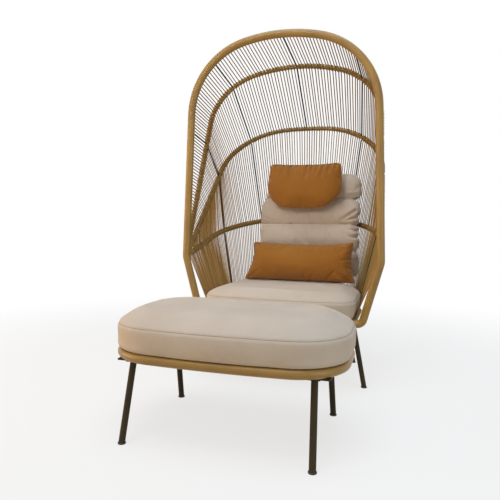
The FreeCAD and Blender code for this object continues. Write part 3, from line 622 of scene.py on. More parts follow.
@dataclass
class Studio:
    """Camera at the photograph's angle, soft light and a pale floor.

    fade holds the distances between which the floor melts into the white background, and
    floor_glow how white it looks near the object and what is added further away. sky_strength
    holds the sky's light on the object and what is added where the background is seen.
    """

    lens: float = 36.11
    sensor: float = 36.0
    view_reach: float = 200.0
    spot: Triple = (0.544, -2.264 + HOOD_FRONT, 0.76)
    turn: float = 0.2922
    dip: float = 0.0538
    roll: float = 0.0125
    floor_reach: float = 30.0
    fade: Pair = (1.1, 3.2)
    floor_tints: tuple[Colour, Colour] = ((0.74, 0.735, 0.725), (0.7, 0.695, 0.69))
    floor_bounce: Colour = (0.78, 0.64, 0.45)
    floor_glow: Pair = (0.72, 0.28)
    sky: tuple[Colour, Colour] = ((1.0, 0.97, 0.93), (1.0, 1.0, 1.0))
    sky_strength: Pair = (0.22, 0.78)

    def camera(self) -> None:
        """Place the camera by its turn, dip and roll."""
        data = bpy.data.cameras.new("camera")
        data.lens, data.sensor_width, data.clip_end = self.lens, self.sensor, self.view_reach
        camera = add_object("camera", data)
        sine, cosine = math.sin(self.turn), math.cos(self.turn)
        drop, flat = math.sin(self.dip), math.cos(self.dip)
        level = Vector((cosine, sine, 0))
        upright = Vector((-sine * drop, cosine * drop, flat))
        right = level * math.cos(self.roll) + upright * math.sin(self.roll)
        up = upright * math.cos(self.roll) - level * math.sin(self.roll)
        axes = Matrix((right, up, right.cross(up))).transposed().to_4x4()
        camera.matrix_world = Matrix.Translation(self.spot) @ axes
        bpy.context.scene.camera = camera

    def backdrop_share(self, graph: Graph) -> Term:
        """1 for rays that show the background, straight or by reflection."""
        path = graph.node("ShaderNodeLightPath")
        seen = Term(graph, path.outputs["Is Camera Ray"])
        for name in ("Is Glossy Ray", "Is Transmission Ray"):
            seen = seen.act("MAXIMUM", path.outputs[name])
        return seen

    def light(self) -> None:
        """Sky and lamps."""
        world = bpy.data.worlds.new("studio")
        world.use_nodes = True
        bpy.context.scene.world = world
        world.node_tree.nodes.clear()
        graph = Graph(world.node_tree)
        seen = self.backdrop_share(graph)
        dim, bright = self.sky_strength
        sockets = {"Color": graph.mix(seen, *self.sky), "Strength": seen * bright + dim}
        sky = graph.node("ShaderNodeBackground", None, sockets)
        graph.node("ShaderNodeOutputWorld", None, {"Surface": sky.outputs[0]})
        for lamp in LAMPS:
            lamp.build()

    def floor(self) -> None:
        """Pale floor that keeps the object's shadow."""
        reach = self.floor_reach
        corners = [(-reach, -reach, 0), (reach, -reach, 0), (reach, reach, 0), (-reach, reach, 0)]
        floor = mesh_object("floor", corners, [(0, 1, 2, 3)])
        made, graph = new_material("pale_floor")
        place = object_place(graph)
        tint = graph.mix(graph.noise(place, 1.5) * 0.5, *self.floor_tints)
        tint = graph.mix(self.backdrop_share(graph), self.floor_bounce, tint)
        matt = graph.node("ShaderNodeBsdfDiffuse", None, {"Color": tint})
        white = {"Color": (1.0, 1.0, 1.0), "Strength": 1.0}
        glow = graph.node("ShaderNodeEmission", None, white)
        away = graph.vector("LENGTH", place, output=1).band(*self.fade)
        near, more = self.floor_glow
        share = self.backdrop_share(graph) * (away * more + near)
        sockets = {0: share, 1: matt.outputs[0], 2: glow.outputs[0]}
        both = graph.node("ShaderNodeMixShader", None, sockets)
        graph.node("ShaderNodeOutputMaterial", None, {"Surface": both.outputs[0]})
        dress(floor, made)

    def build(self) -> None:
        """Camera first, then the light and the floor."""
        self.camera()
        self.light()
        self.floor()
        bpy.context.scene.view_settings.view_transform = "Standard"


# ---- Hoops and rings as lines


@dataclass(frozen=True)
class TubeLine:
    """Centre line of a bent tube: straight side, shoulder arc, crown arc and the same mirrored.

    side is the length of the straight side, shoulder the radius of its arc, half_crown half the
    crown arc's angle in degrees and tube the tube's radius. lean tips the sides inwards, and tilt
    tips the whole line back. trim cuts its ends short. With a level the line lies flat at that
    height, and start says how far behind the front hoop's plane its ends are.
    """

    name: str
    half_width: float
    side: float
    shoulder: float
    half_crown: float
    tube: float
    tilt: float = 0.0
    lean: float = HOOP_LEAN
    trim: float = 0.0
    level: float | None = None
    start: float = 0.0

    def points(self, steps: int = 48) -> np.ndarray:
        """Places along the line, from the right end to the left one.

        Args:
            steps: pieces that each arc is cut into.

        Returns:
            Array of places in the row frame.
        """
        half = math.radians(self.half_crown)
        sine, cosine = math.sin(self.lean), math.cos(self.lean)
        spot = np.array([self.half_width - self.trim * sine, self.start + self.trim * cosine])
        heading = math.pi / 2 + self.lean
        side = self.side - self.trim
        run = self.half_width - self.side * sine - self.shoulder * cosine
        crown = run / math.sin(half) + self.shoulder
        turn = math.pi / 2 - self.lean - half
        line = [spot]
        straight = (0, side)
        shoulder = (self.shoulder, turn)
        for radius, reach in (straight, shoulder, (crown, 2 * half), shoulder, straight):
            if not radius:
                spot = spot + reach * np.array([math.cos(heading), math.sin(heading)])
                line.append(spot)
                continue
            centre = spot + radius * np.array([-math.sin(heading), math.cos(heading)])
            for index in range(1, steps + 1):
                now = heading + reach * index / steps
                line.append(centre + radius * np.array([math.sin(now), -math.cos(now)]))
            spot, heading = line[-1], heading + reach
        across, up = np.array(line).T
        if self.level is not None:
            return np.column_stack([across, up + HOOD_FRONT, np.full(len(up), self.level)])
        tilt = math.radians(self.tilt)
        return np.column_stack([across, HOOD_FRONT + up * math.sin(tilt),
                                KINK[1] + up * math.cos(tilt)])

    def curve(self) -> bpy.types.Object:
        """Helper curve object along the line, for the node trees to read."""
        data = bpy.data.curves.new(f"{self.name}_line", "CURVE")
        data.dimensions = "3D"
        spots = self.points()
        spline = data.splines.new("POLY")
        spline.points.add(len(spots) - 1)
        spline.points.foreach_set("co", np.column_stack([spots, np.ones(len(spots))]).ravel())
        return add_object(f"{self.name}_line", data)


# The front hoop's sides end where the bend of its kinks begins: 17.2 degrees at a 70 mm radius.
KINK_RUN = 0.070 * math.tan(math.radians(15.2 + 2.0) / 2)
FRONT = TubeLine("front", KINK[0], 0.685, 0.342, 13.75, 0.0175, trim=KINK_RUN)
CROWN = TubeLine("crown", KINK[0], 0.730, 0.303, 18.5, 0.011, tilt=19.7)
BACK = TubeLine("back", KINK[0], 0.631, 0.364, 4.3, 0.011, tilt=43.0)
RAIL = TubeLine("rail", KINK[0], 0.320, 0.440, 13.1, 0.011, tilt=74.5)
RING = TubeLine("ring", 0.345, 0.300, 0.225, 13.0, 0.015, lean=0.0, level=0.315, start=0.020)


# ---- Cords by geometry nodes


class NodeShape:
    """Geometry node tree with named inputs, run once on a set of points.

    INPUTS gives the socket type of each input that the subclass names.
    """

    INPUTS: ClassVar[dict[str, str]] = {}
    CORD_SIDES = 6

    def __init__(self, name: str) -> None:
        """Make the tree.

        Args:
            name: the tree's name.
        """
        self.tree = bpy.data.node_groups.new(name, "GeometryNodeTree")
        shape = {"socket_type": "NodeSocketGeometry"}
        self.tree.interface.new_socket("Geometry", in_out="INPUT", **shape)
        self.ids = {}
        for label, kind in (self.INPUTS | {"Material": PAINT}).items():
            made = self.tree.interface.new_socket(label, in_out="INPUT", socket_type=kind)
            self.ids[label] = made.identifier
        self.tree.interface.new_socket("Geometry", in_out="OUTPUT", **shape)
        self.graph = Graph(self.tree)
        self.entry = self.graph.node("NodeGroupInput")
        given = {socket.name: Term(self.graph, socket) for socket in self.entry.outputs}
        self.build(self.graph, given)

    def build(self, graph: Graph, given: dict[str, Term]) -> None:
        """Fill the tree; the subclass ends it with close()."""
        raise NotImplementedError

    def close(self, geometry: object) -> None:
        """Realize, shade smooth, set the material and go out."""
        graph = self.graph
        real = graph.term("GeometryNodeRealizeInstances", None, {0: geometry})
        smooth = graph.term("GeometryNodeSetShadeSmooth", None, {0: real})
        sockets = {"Geometry": smooth, "Material": self.entry.outputs["Material"]}
        done = graph.term("GeometryNodeSetMaterial", None, sockets)
        graph.node("NodeGroupOutput", None, {0: done})

    def run(self, name: str, points: np.ndarray, fields: dict[str, np.ndarray],
            **values: object) -> bpy.types.Object:
        """Run the tree on points and keep the result as a plain mesh.

        Args:
            name: name of the new piece.
            points: places of the points.
            fields: numbers stored on each point.
            values: value of each named input, its spaces written as underscores.

        Returns:
            The new object.
        """
        made = mesh_object(name, [], [])
        made.data.vertices.add(len(points))
        move_to(made, points)
        for label, numbers in fields.items():
            stored = made.data.attributes.new(label, "FLOAT", "POINT")
            stored.data.foreach_set("value", numbers.astype(np.float32))
        modifier = made.modifiers.new(name, "NODES")
        modifier.node_group = self.tree
        for label, value in values.items():
            modifier[self.ids[label.replace("_", " ")]] = value
        apply_modifiers(made)
        for label in fields:
            if label != "tone" and label in made.data.attributes:
                made.data.attributes.remove(made.data.attributes[label])
        return made

    def field(self, label: str) -> Term:
        """Number stored on the points."""
        sockets = {"Name": label}
        return self.graph.term("GeometryNodeInputNamedAttribute", {"data_type": "FLOAT"}, sockets)

    def sample(self, hoop: Term, share: Term) -> tuple[Term, Term]:
        """Place and direction at a share of a hoop's length."""
        graph = self.graph
        settings = {"transform_space": "ORIGINAL"}
        line = graph.term("GeometryNodeObjectInfo", settings, {0: hoop}, "Geometry")
        sockets = {"Curves": line, "Factor": share}
        found = graph.node("GeometryNodeSampleCurve", {"mode": "FACTOR"}, sockets)
        return Term(graph, found.outputs["Position"]), Term(graph, found.outputs["Tangent"])

    def span(self, given: dict[str, Term]) -> tuple[Term, Term, Term]:
        """Foot on the near tube's wall, direction, and the run between the tubes' middles."""
        graph = self.graph
        near, _ = self.sample(given["Near hoop"], self.field("station"))
        far, _ = self.sample(given["Far hoop"], self.field("station_far"))
        run = graph.vector("SUBTRACT", far, near)
        way = graph.vector("NORMALIZE", run)
        sockets = {0: way, "Scale": given["Near tube"]}
        step = graph.term("ShaderNodeVectorMath", {"operation": "SCALE"}, sockets)
        return graph.vector("ADD", near, step), way, run

    def aimed(self, way: object, axis: str = "Z", pivot: str = "AUTO",
              before: Term | None = None) -> Term:
        """Rotation that turns an axis towards a direction, after another rotation if given."""
        settings = {"axis": axis, "pivot_axis": pivot}
        sockets = {"Rotation": before, "Vector": way}
        return self.graph.term("FunctionNodeAlignRotationToVector", settings, sockets)

    def copies(self, given: dict[str, Term], shape: Term, spot: Term | None = None,
               turned: Term | None = None, scale: Term | None = None) -> Term:
        """One copy of a shape at each point, moved, turned and scaled where that is given."""
        sockets = {"Mesh": given["Geometry"], "Position": spot}
        spots = self.graph.term("GeometryNodeMeshToPoints", None, sockets)
        sockets = {"Points": spots, "Instance": shape, "Rotation": turned, "Scale": scale}
        return self.graph.term("GeometryNodeInstanceOnPoints", None, sockets)

    def stored(self, label: str, shape: Term, value: Term, kind: str = "FLOAT",
               domain: str = "POINT") -> Term:
        """Shape with a field kept under a name."""
        settings = {"data_type": kind, "domain": domain}
        sockets = {0: shape, "Name": label, "Value": value}
        return self.graph.term("GeometryNodeStoreNamedAttribute", settings, sockets)

    def rope(self, copies: Term, radius: Term) -> Term:
        """Round rope along copied curves, with a map of the way round and the way along."""
        graph = self.graph
        curves = graph.term("GeometryNodeRealizeInstances", None, {0: copies})
        along = graph.term("GeometryNodeSplineParameter", output="Length")
        around = graph.term("GeometryNodeSplineParameter", output="Factor")
        sockets = {"Resolution": self.CORD_SIDES, "Radius": radius}
        circle = graph.term("GeometryNodeCurvePrimitiveCircle", None, sockets)
        sockets = {"Curve": self.stored("along", curves, along),
                   "Profile Curve": self.stored("around", circle, around), "Fill Caps": True}
        tube = graph.term("GeometryNodeCurveToMesh", None, sockets)
        turn = self.field("around")
        settings = {"data_type": "FLOAT", "domain": "FACE"}
        middle = graph.term("GeometryNodeFieldOnDomain", settings, {0: turn})
        wrapped = turn + (middle - turn).act("GREATER_THAN", 0.25)
        place = graph.joined(wrapped, self.field("along"), 0.0)
        mapped = self.stored("cord_map", tube, place, "FLOAT2", "CORNER")
        for label in ("along", "around"):
            mapped = graph.term("GeometryNodeRemoveAttribute", None, {0: mapped, "Name": label})
        return mapped


class CordRuns(NodeShape):
    """Taut cords from one hoop's stations to the next hoop's."""

    INPUTS = {"Near hoop": OBJECT, "Far hoop": OBJECT, "Near tube": FLOAT, "Far tube": FLOAT,
              "Cord radius": FLOAT}

    def build(self, graph: Graph, given: dict[str, Term]) -> None:
        """One straight rope for each point, from tube wall to tube wall."""
        foot, way, run = self.span(given)
        length = graph.vector("LENGTH", run, output=1) - given["Near tube"] - given["Far tube"]
        scale = graph.joined(1.0, 1.0, length)
        sockets = {"Start": (0, 0, 0), "End": (0, 0, 1)}
        line = graph.term("GeometryNodeCurvePrimitiveLine", None, sockets)
        cords = self.copies(given, line, foot, self.aimed(way), scale)
        self.close(self.rope(cords, given["Cord radius"]))


class CordWraps(NodeShape):
    """Turns of each cord round a tube, at the tube's stations."""

    INPUTS = {"Hoop": OBJECT, "Tube": FLOAT, "Cord radius": FLOAT, "Turns": FLOAT}
    PITCH = 2.1
    STEPS = 10

    def build(self, graph: Graph, given: dict[str, Term]) -> None:
        """One short helix for each point, its middle under the tube."""
        spot, way = self.sample(given["Hoop"], self.field("station"))
        cord, turns = given["Cord radius"], given["Turns"]
        radius = given["Tube"] + cord * 0.5
        height = cord * self.PITCH * turns
        sockets = {"Resolution": self.STEPS, "Rotations": turns, "Start Radius": radius,
                   "End Radius": radius, "Height": height}
        helix = graph.term("GeometryNodeCurveSpiral", None, sockets)
        sockets = {0: helix, "Translation": graph.joined(0.0, 0.0, height * -0.5),
                   "Rotation": graph.joined(0.0, 0.0, turns * -math.pi)}
        helix = graph.term("GeometryNodeTransform", None, sockets)
        turned = self.aimed((0.0, 0.0, -1.0), "X", "Z", self.aimed(way))
        self.close(self.rope(self.copies(given, helix, spot, turned), cord))


class Ferrules(NodeShape):
    """Small tapered sleeves where the cords go into the front hoop."""

    INPUTS = {"Near hoop": OBJECT, "Far hoop": OBJECT, "Near tube": FLOAT, "Cord radius": FLOAT}
    WIDTH, TAPER, LENGTH, SIDES = 1.75, 0.72, 0.007, 8

    def build(self, graph: Graph, given: dict[str, Term]) -> None:
        """One short cone for each point, along its cord."""
        foot, way, _ = self.span(given)
        wide = given["Cord radius"] * self.WIDTH
        sockets = {"Vertices": self.SIDES, "Radius Bottom": wide, "Radius Top": wide * self.TAPER,
                   "Depth": self.LENGTH}
        cone = graph.term("GeometryNodeMeshCone", None, sockets)
        self.close(self.copies(given, cone, foot, self.aimed(way)))


@dataclass
class CordShell:
    """Cords that span the hood from hoop to hoop and wind round each tube on their way.

    Each hoop is cut into spaces. first holds the station of each bay's first cord, and crossed
    the stations that a rib takes, with the number of bays that it crosses.
    """

    finishes: Finishes
    spaces: int = 170
    first: tuple[int, ...] = (7, 7, 7, 3)
    radius: float = 0.00265
    turns: tuple[float, ...] = (1.15, 1.0, 1.0, 0.58)
    crossed: tuple[tuple[int, int], ...] = ((85, 2), (62, 4), (108, 4), (39, 4), (131, 4))
    jitter: float = 0.12

    def stations(self, bay: int,
                 draw: np.random.Generator) -> tuple[np.ndarray, dict[str, np.ndarray]]:
        """Stations of one bay's cords, those of the ribs left out.

        Args:
            bay: number of the bay, from the front.
            draw: source of the cords' small differences.

        Returns:
            Empty places, and the fields of each cord.
        """
        taken = {station for station, reach in self.crossed if bay < reach}
        first, last = self.first[bay], self.spaces - self.first[bay]
        kept = [index for index in range(first, last + 1) if index not in taken]
        steps = np.array(kept, float)
        shift = draw.uniform(-self.jitter, self.jitter, (2, len(steps)))
        fields = {"station": (steps + shift[0] * (bay > 0)) / self.spaces,
                  "station_far": (steps + shift[1]) / self.spaces,
                  "tone": draw.uniform(0.0, 1.0, len(steps))}
        return np.zeros((len(steps), 3)), fields

    def build(self) -> None:
        """Runs, wraps and ferrules of all four bays."""
        draw = np.random.default_rng(WEAVE_SEED)
        lines = [FRONT, CROWN, BACK, RAIL, RING]
        hoops = [line.curve() for line in lines]
        runs, wraps = CordRuns("cord_runs"), CordWraps("cord_wraps")
        sleeves = Ferrules("cord_sleeves")
        cord = {"Cord_radius": self.radius, "Material": self.finishes.cord}
        for bay, label in enumerate(("front_bay", "crown_bay", "back_bay", "seat_bay")):
            spots, fields = self.stations(bay, draw)
            hoop, tube = hoops[bay + 1], lines[bay + 1].tube
            ends = {"Near_hoop": hoops[bay], "Near_tube": lines[bay].tube, "Far_hoop": hoop}
            piece = runs.run(f"{label}_strung_cords", spots, fields, **ends, **cord, Far_tube=tube)
            finish_piece(piece, Body.CHAIR, [f"{label}_cords"])
            if not bay:
                paint = cord | {"Material": self.finishes.ochre}
                piece = sleeves.run("cord_sleeves", spots, fields, **ends, **paint)
                finish_piece(piece, Body.CHAIR)
            fields["station"] = fields["station_far"]
            piece = wraps.run(f"{lines[bay + 1].name}_cord_wraps", spots, fields, **cord,
                              Hoop=hoop, Tube=tube, Turns=self.turns[bay])
            finish_piece(piece, Body.CHAIR)
        for hoop in hoops:
            bpy.data.objects.remove(hoop)


# ---- Cushions


def quarter(x: float, y: float, radius: float, first: float, steps: int) -> list[Pair]:
    """Points on a quarter arc round (x, y), from a first angle in degrees."""
    angles = [math.radians(first + 90 * step / steps) for step in range(steps + 1)]
    return [(x + radius * math.cos(angle), y + radius * math.sin(angle)) for angle in angles]


def rounded_plan(half_width: float, low: float, high: float, low_corner: float,
                 high_corner: float, bow: float, count: int = 240) -> np.ndarray:
    """Rounded rectangle with a bowed low side.

    Args:
        half_width: half of its width.
        low, high: its front and back along Y, the bow left out.
        low_corner, high_corner: corner radii.
        bow: how far the front's middle stands out.
        count: points on the outline.

    Returns:
        Array of places in X and Y at equal steps.
    """
    reach, top_reach = half_width - low_corner, half_width - high_corner
    steps = 24
    line = quarter(top_reach, high - high_corner, high_corner, 0, steps)
    line += quarter(-top_reach, high - high_corner, high_corner, 90, steps)
    line += quarter(-reach, low + low_corner, low_corner, 180, steps)
    if bow:
        shares = [-1 + 2 * step / steps for step in range(1, steps)]
        line += [(reach * share, low - bow * (1 - share * share)) for share in shares]
    line += quarter(reach, low + low_corner, low_corner, 270, steps)
    return even_steps(np.array(line), count, True)


@dataclass
class Padding:
    """Base of every stuffed piece: a start shape, a cloth simulation with pressure, the sewing.

    The start shape stands in the piece's own frame, which leans back by lean about its foot.
    voxel is the size of its faces, cap the furthest that the swelling moves a point, and slack
    how much larger than its start shape the cover is cut. fill (how full the piece is) is not
    used, and relax says how many times it is smoothed. Seams are held by the weight hold, out to
    hold_reach voxels on both sides.
    """

    name: str
    body: Body
    slot: Slot
    nodes: tuple[str, ...]
    material: bpy.types.Material
    foot: Triple = (0.0, 0.0, 0.0)
    lean: float = 0.0
    voxel: float = 0.008
    pressure: float = 4.0
    slack: float = 0.02
    cap: float = 0.012
    fill: float = 0.7
    stiffness: float = 8.0
    bending: float = 0.3
    mass: float = 0.3
    quality: int = 5
    relax: int = 0
    relax_share: float = 0.5
    hold: float = 0.9
    hold_reach: float = 0.6

    def start(self) -> bpy.types.Object:
        """Start shape as a closed mesh."""
        raise NotImplementedError

    def held(self, spots: np.ndarray) -> np.ndarray:
        """How firmly each point is held while the cloth swells, from 0 to 1."""
        raise NotImplementedError

    def on_seam(self, away: np.ndarray) -> np.ndarray:
        """Weight of the points that a seam holds, from their distance to it."""
        return np.where(away < self.voxel * self.hold_reach, self.hold, 0.0)

    def free(self, spots: np.ndarray) -> np.ndarray:
        """How freely each point relaxes after the swelling, from 0 to 1."""
        return np.ones(len(spots))

    def sewn(self, spots: np.ndarray) -> np.ndarray:
        """Places after the seams are drawn in and the piece is seated."""
        raise NotImplementedError

    def cut(self) -> None:
        """Make the start shape of even small faces and give it its cloth."""
        self.piece = self.start()
        remesh = self.piece.modifiers.new("even", "REMESH")
        remesh.mode, remesh.voxel_size = "VOXEL", self.voxel
        remesh.use_smooth_shade = True
        apply_modifiers(self.piece)
        self.rest = places(self.piece.data)
        weights = self.held(self.rest)
        group = self.piece.vertex_groups.new(name="held")
        for index in np.nonzero(weights > 0)[0]:
            group.add([int(index)], float(weights[index]), "REPLACE")
        cloth = self.piece.modifiers.new("cloth", "CLOTH")
        settings = {"quality": self.quality, "mass": self.mass,
                    "tension_stiffness": self.stiffness, "compression_stiffness": self.stiffness,
                    "shear_stiffness": self.stiffness / 2, "bending_stiffness": self.bending,
                    "use_pressure": True, "uniform_pressure_force": self.pressure,
                    "shrink_min": -self.slack, "vertex_group_mass": "held"}
        for label, value in settings.items():
            setattr(cloth.settings, label, value)
        cloth.settings.effector_weights.gravity = 0.0
        cloth.collision_settings.use_collision = False
        cloth.point_cache.frame_start, cloth.point_cache.frame_end = 1, SWELL_FRAMES

    def gather(self) -> None:
        """Read the swollen places, no point moved further than the cap."""
        mesh = evaluated_mesh(self.piece)
        step = places(mesh) - self.rest
        bpy.data.meshes.remove(mesh)
        far = np.linalg.norm(step, axis=1, keepdims=True)
        self.swollen = self.rest + step * np.minimum(1.0, self.cap / np.maximum(far, 1e-9))

    def finish(self) -> None:
        """Drop the cloth, relax and smooth, sew, place and hand over."""
        piece = self.piece
        piece.modifiers.clear()
        move_to(piece, self.swollen)
        if self.relax:
            group = piece.vertex_groups.new(name="free")
            for index, weight in enumerate(self.free(self.rest)):
                group.add([index], float(weight), "REPLACE")
            even = piece.modifiers.new("relax", "SMOOTH")
            even.factor, even.iterations = self.relax_share, self.relax
            even.vertex_group = "free"
        divide = piece.modifiers.new("finer", "SUBSURF")
        divide.levels = divide.render_levels = 1
        apply_modifiers(piece)
        move_to(piece, self.sewn(places(piece.data)))
        piece.data.transform(leaning(self.foot, self.lean))
        piece.data.shade_smooth()
        piece.vertex_groups.clear()
        dress(piece, self.material)
        finish_piece(piece, self.body, self.nodes)


def leaning(foot: Triple, lean: float) -> Matrix:
    """Turn and move from a frame that leans back by some degrees about its foot."""
    return Matrix.Translation(foot) @ Matrix.Rotation(math.radians(-lean), 4, "X")


GATHER_LENGTHS = (0.013, 0.021, 0.034, 0.055)
GATHER_WANDER, WANDER_RATE = 1.5, 17


def pucker(along: np.ndarray, away: np.ndarray, reach: float, seed: int) -> np.ndarray:
    """Small gathers beside a seam: a wavy push that fades away from it.

    Args:
        along: distance of each point along the seam.
        away: distance of each point from the seam.
        reach: distance at which the gathers have gone.
        seed: seed of their spacing.

    Returns:
        Push of each point, from -1 to 1.
    """
    draw = np.random.default_rng(seed)
    total = np.zeros(len(along))
    for length in GATHER_LENGTHS:
        phase, drift = draw.uniform(0, 2 * math.pi, 2)
        wander = GATHER_WANDER * np.sin(along * WANDER_RATE + drift)
        total += np.sin(2 * math.pi * along / length + phase + wander)
    return total / 3 * np.clip(1 - away / reach, 0, 1) ** 2


def groove(away: np.ndarray, width: float) -> np.ndarray:
    """Rounded groove over a seam, 1 on it and fading with the distance."""
    return np.exp(-((away / width) ** 2))


@dataclass(frozen=True)
class Fold:
    """Crease that runs from a seam into a padded face: (across, up) of its two ends."""

    start: Pair
    end: Pair
    depth: float
    width: float = 0.006


FOLD_FADE = 0.8
RIDGE_SHARE, RIDGE_PLACE, RIDGE_WIDTH = 0.5, 2.0, 1.1  # the ridges beside a fold, in its widths


def creased(across: np.ndarray, up: np.ndarray, folds: Sequence[Fold]) -> np.ndarray:
    """Push of the folds into a face, each deepest at its start with a ridge on both sides.

    Args:
        across, up: the points' places in the face.
        folds: the creases.

    Returns:
        Push of each point in metres, inwards where it is positive.
    """
    total = np.zeros(len(across))
    spots = np.column_stack([across, up])
    for fold in folds:
        start, way = np.array(fold.start), np.subtract(fold.end, fold.start)
        share = np.clip((spots - start) @ way / (way @ way), 0, 1)
        away = np.linalg.norm(spots - start - share[:, None] * way, axis=1) / fold.width
        fade = (1 - share) ** FOLD_FADE * np.clip(2.2 - away * 0.2, 0, 1)
        ridges = RIDGE_SHARE * groove(away - RIDGE_PLACE, RIDGE_WIDTH)
        total += fold.depth * fade * (groove(away, 1.0) - ridges)
    return total


def fitted(spots: np.ndarray, low: Sequence[float], high: Sequence[float]) -> np.ndarray:
    """Stretch places a little so that they just fill a box.

    Args:
        spots: the points' places.
        low, high: the box's corners.

    Returns:
        Places that touch all six sides of the box.
    """
    floor, roof = spots.min(axis=0), spots.max(axis=0)
    low, high = np.array(low), np.array(high)
    return low + (spots - floor) * ((high - low) / (roof - floor))


@dataclass(kw_only=True)
class BoxPad(Padding):
    """Flat cushion: a crowned top panel sewn to a side band, flat where it lies on its ring.

    draw_in is how far the band's foot stands in, droop how far the under side hangs into the
    ring, and crown_scale the distance from the seam within which the crown rises. under holds
    the under side's rings as (cut, share of droop), band the band's as shares of its height.
    """

    half_width: float
    front: float
    back: float
    front_corner: float
    back_corner: float
    bow: float
    bottom: float
    seam: float
    top: float
    draw_in: float
    seed: int
    middle: Pair = (0.0, 0.0)
    droop: float = 0.004
    under: tuple[Pair, ...] = ((0.026, 0.0), (0.018, -0.25), (0.012, -1.0), (0.007, -0.7))
    band: tuple[float, ...] = (0.3, 0.5, 0.7, 0.88, 1.0)
    crown_scale: float = 0.028
    crown_rings: int = 20
    flat_middle: float = 0.02
    inset: float = 0.003
    least_corner: float = 0.012
    under_reach: float = 0.003
    foot_height: float = 0.025
    seam_depth: float = 0.0022
    seam_width: float = 0.0045
    gather_depth: float = 0.0006
    gather_reach: float = 0.016

    def outline(self, cut: float, level: float) -> np.ndarray:
        """Outline drawn in by a cut, at a height."""
        corners = [max(corner - cut * 0.6, self.least_corner)
                   for corner in (self.front_corner, self.back_corner)]
        plan = rounded_plan(self.half_width - cut, self.front + self.bow + cut, self.back - cut,
                            *corners, self.bow * max(0.0, 1 - cut / 0.2))
        return np.column_stack([plan + self.middle, np.full(len(plan), level)])

    def start(self) -> bpy.types.Object:
        """Loft from the under side over the band and the seam to the crown."""
        height = self.seam - self.bottom
        rings = [self.outline(self.draw_in + cut, self.bottom + self.droop * drop)
                 for cut, drop in self.under]
        rings.append(self.outline(self.draw_in * 0.9, self.bottom + height * 0.08))
        for share in self.band:
            cut = self.draw_in * (1 - share) ** 1.4 + self.inset
            rings.append(self.outline(cut, self.bottom + height * share))
        rise = self.top - self.seam
        half_depth = (self.back - self.front) / 2
        for step in range(1, self.crown_rings + 1):
            cut = (half_depth - self.flat_middle) * (step / self.crown_rings) ** 1.8
            share = 1 - math.exp(-cut / self.crown_scale)
            swell = 0.85 * share + 0.15 * math.sin(math.pi / 2 * cut / half_depth)
            rings.append(self.outline(cut + self.inset, self.seam + rise * swell))
        return mesh_object(self.name, *loft(rings))

    def held(self, spots: np.ndarray) -> np.ndarray:
        """Seam and under side are held."""
        under = spots[:, 2] < self.bottom + self.under_reach
        return self.on_seam(np.abs(spots[:, 2] - self.seam)) + under

    def free(self, spots: np.ndarray) -> np.ndarray:
        """The foot of the band keeps its shape, so that it lies close on the ring."""
        height = self.foot_height
        return np.clip((spots[:, 2] - self.bottom - height) / height, 0, 1)

    def sewn(self, spots: np.ndarray) -> np.ndarray:
        """Seam drawn in with small gathers, and the piece kept between its seat and its crown."""
        centre = np.array([self.middle[0], self.middle[1] + (self.front + self.back) / 2])
        out = spots[:, :2] - centre
        size = np.maximum(np.linalg.norm(out, axis=1, keepdims=True), 1e-6)
        around = np.arctan2(out[:, 1], out[:, 0]) * 0.36
        edge = size[:, 0] > 0.6 * (self.back - self.front) / 2
        away = np.abs(spots[:, 2] - self.seam)
        pull = groove(away, self.seam_width) * self.seam_depth
        pull += pucker(around, away, self.gather_reach, self.seed) * self.gather_depth
        spots[:, :2] -= out / size * (pull * edge)[:, None]
        spots[:, 2] = np.clip(spots[:, 2], self.bottom - self.droop, self.top)
        return spots


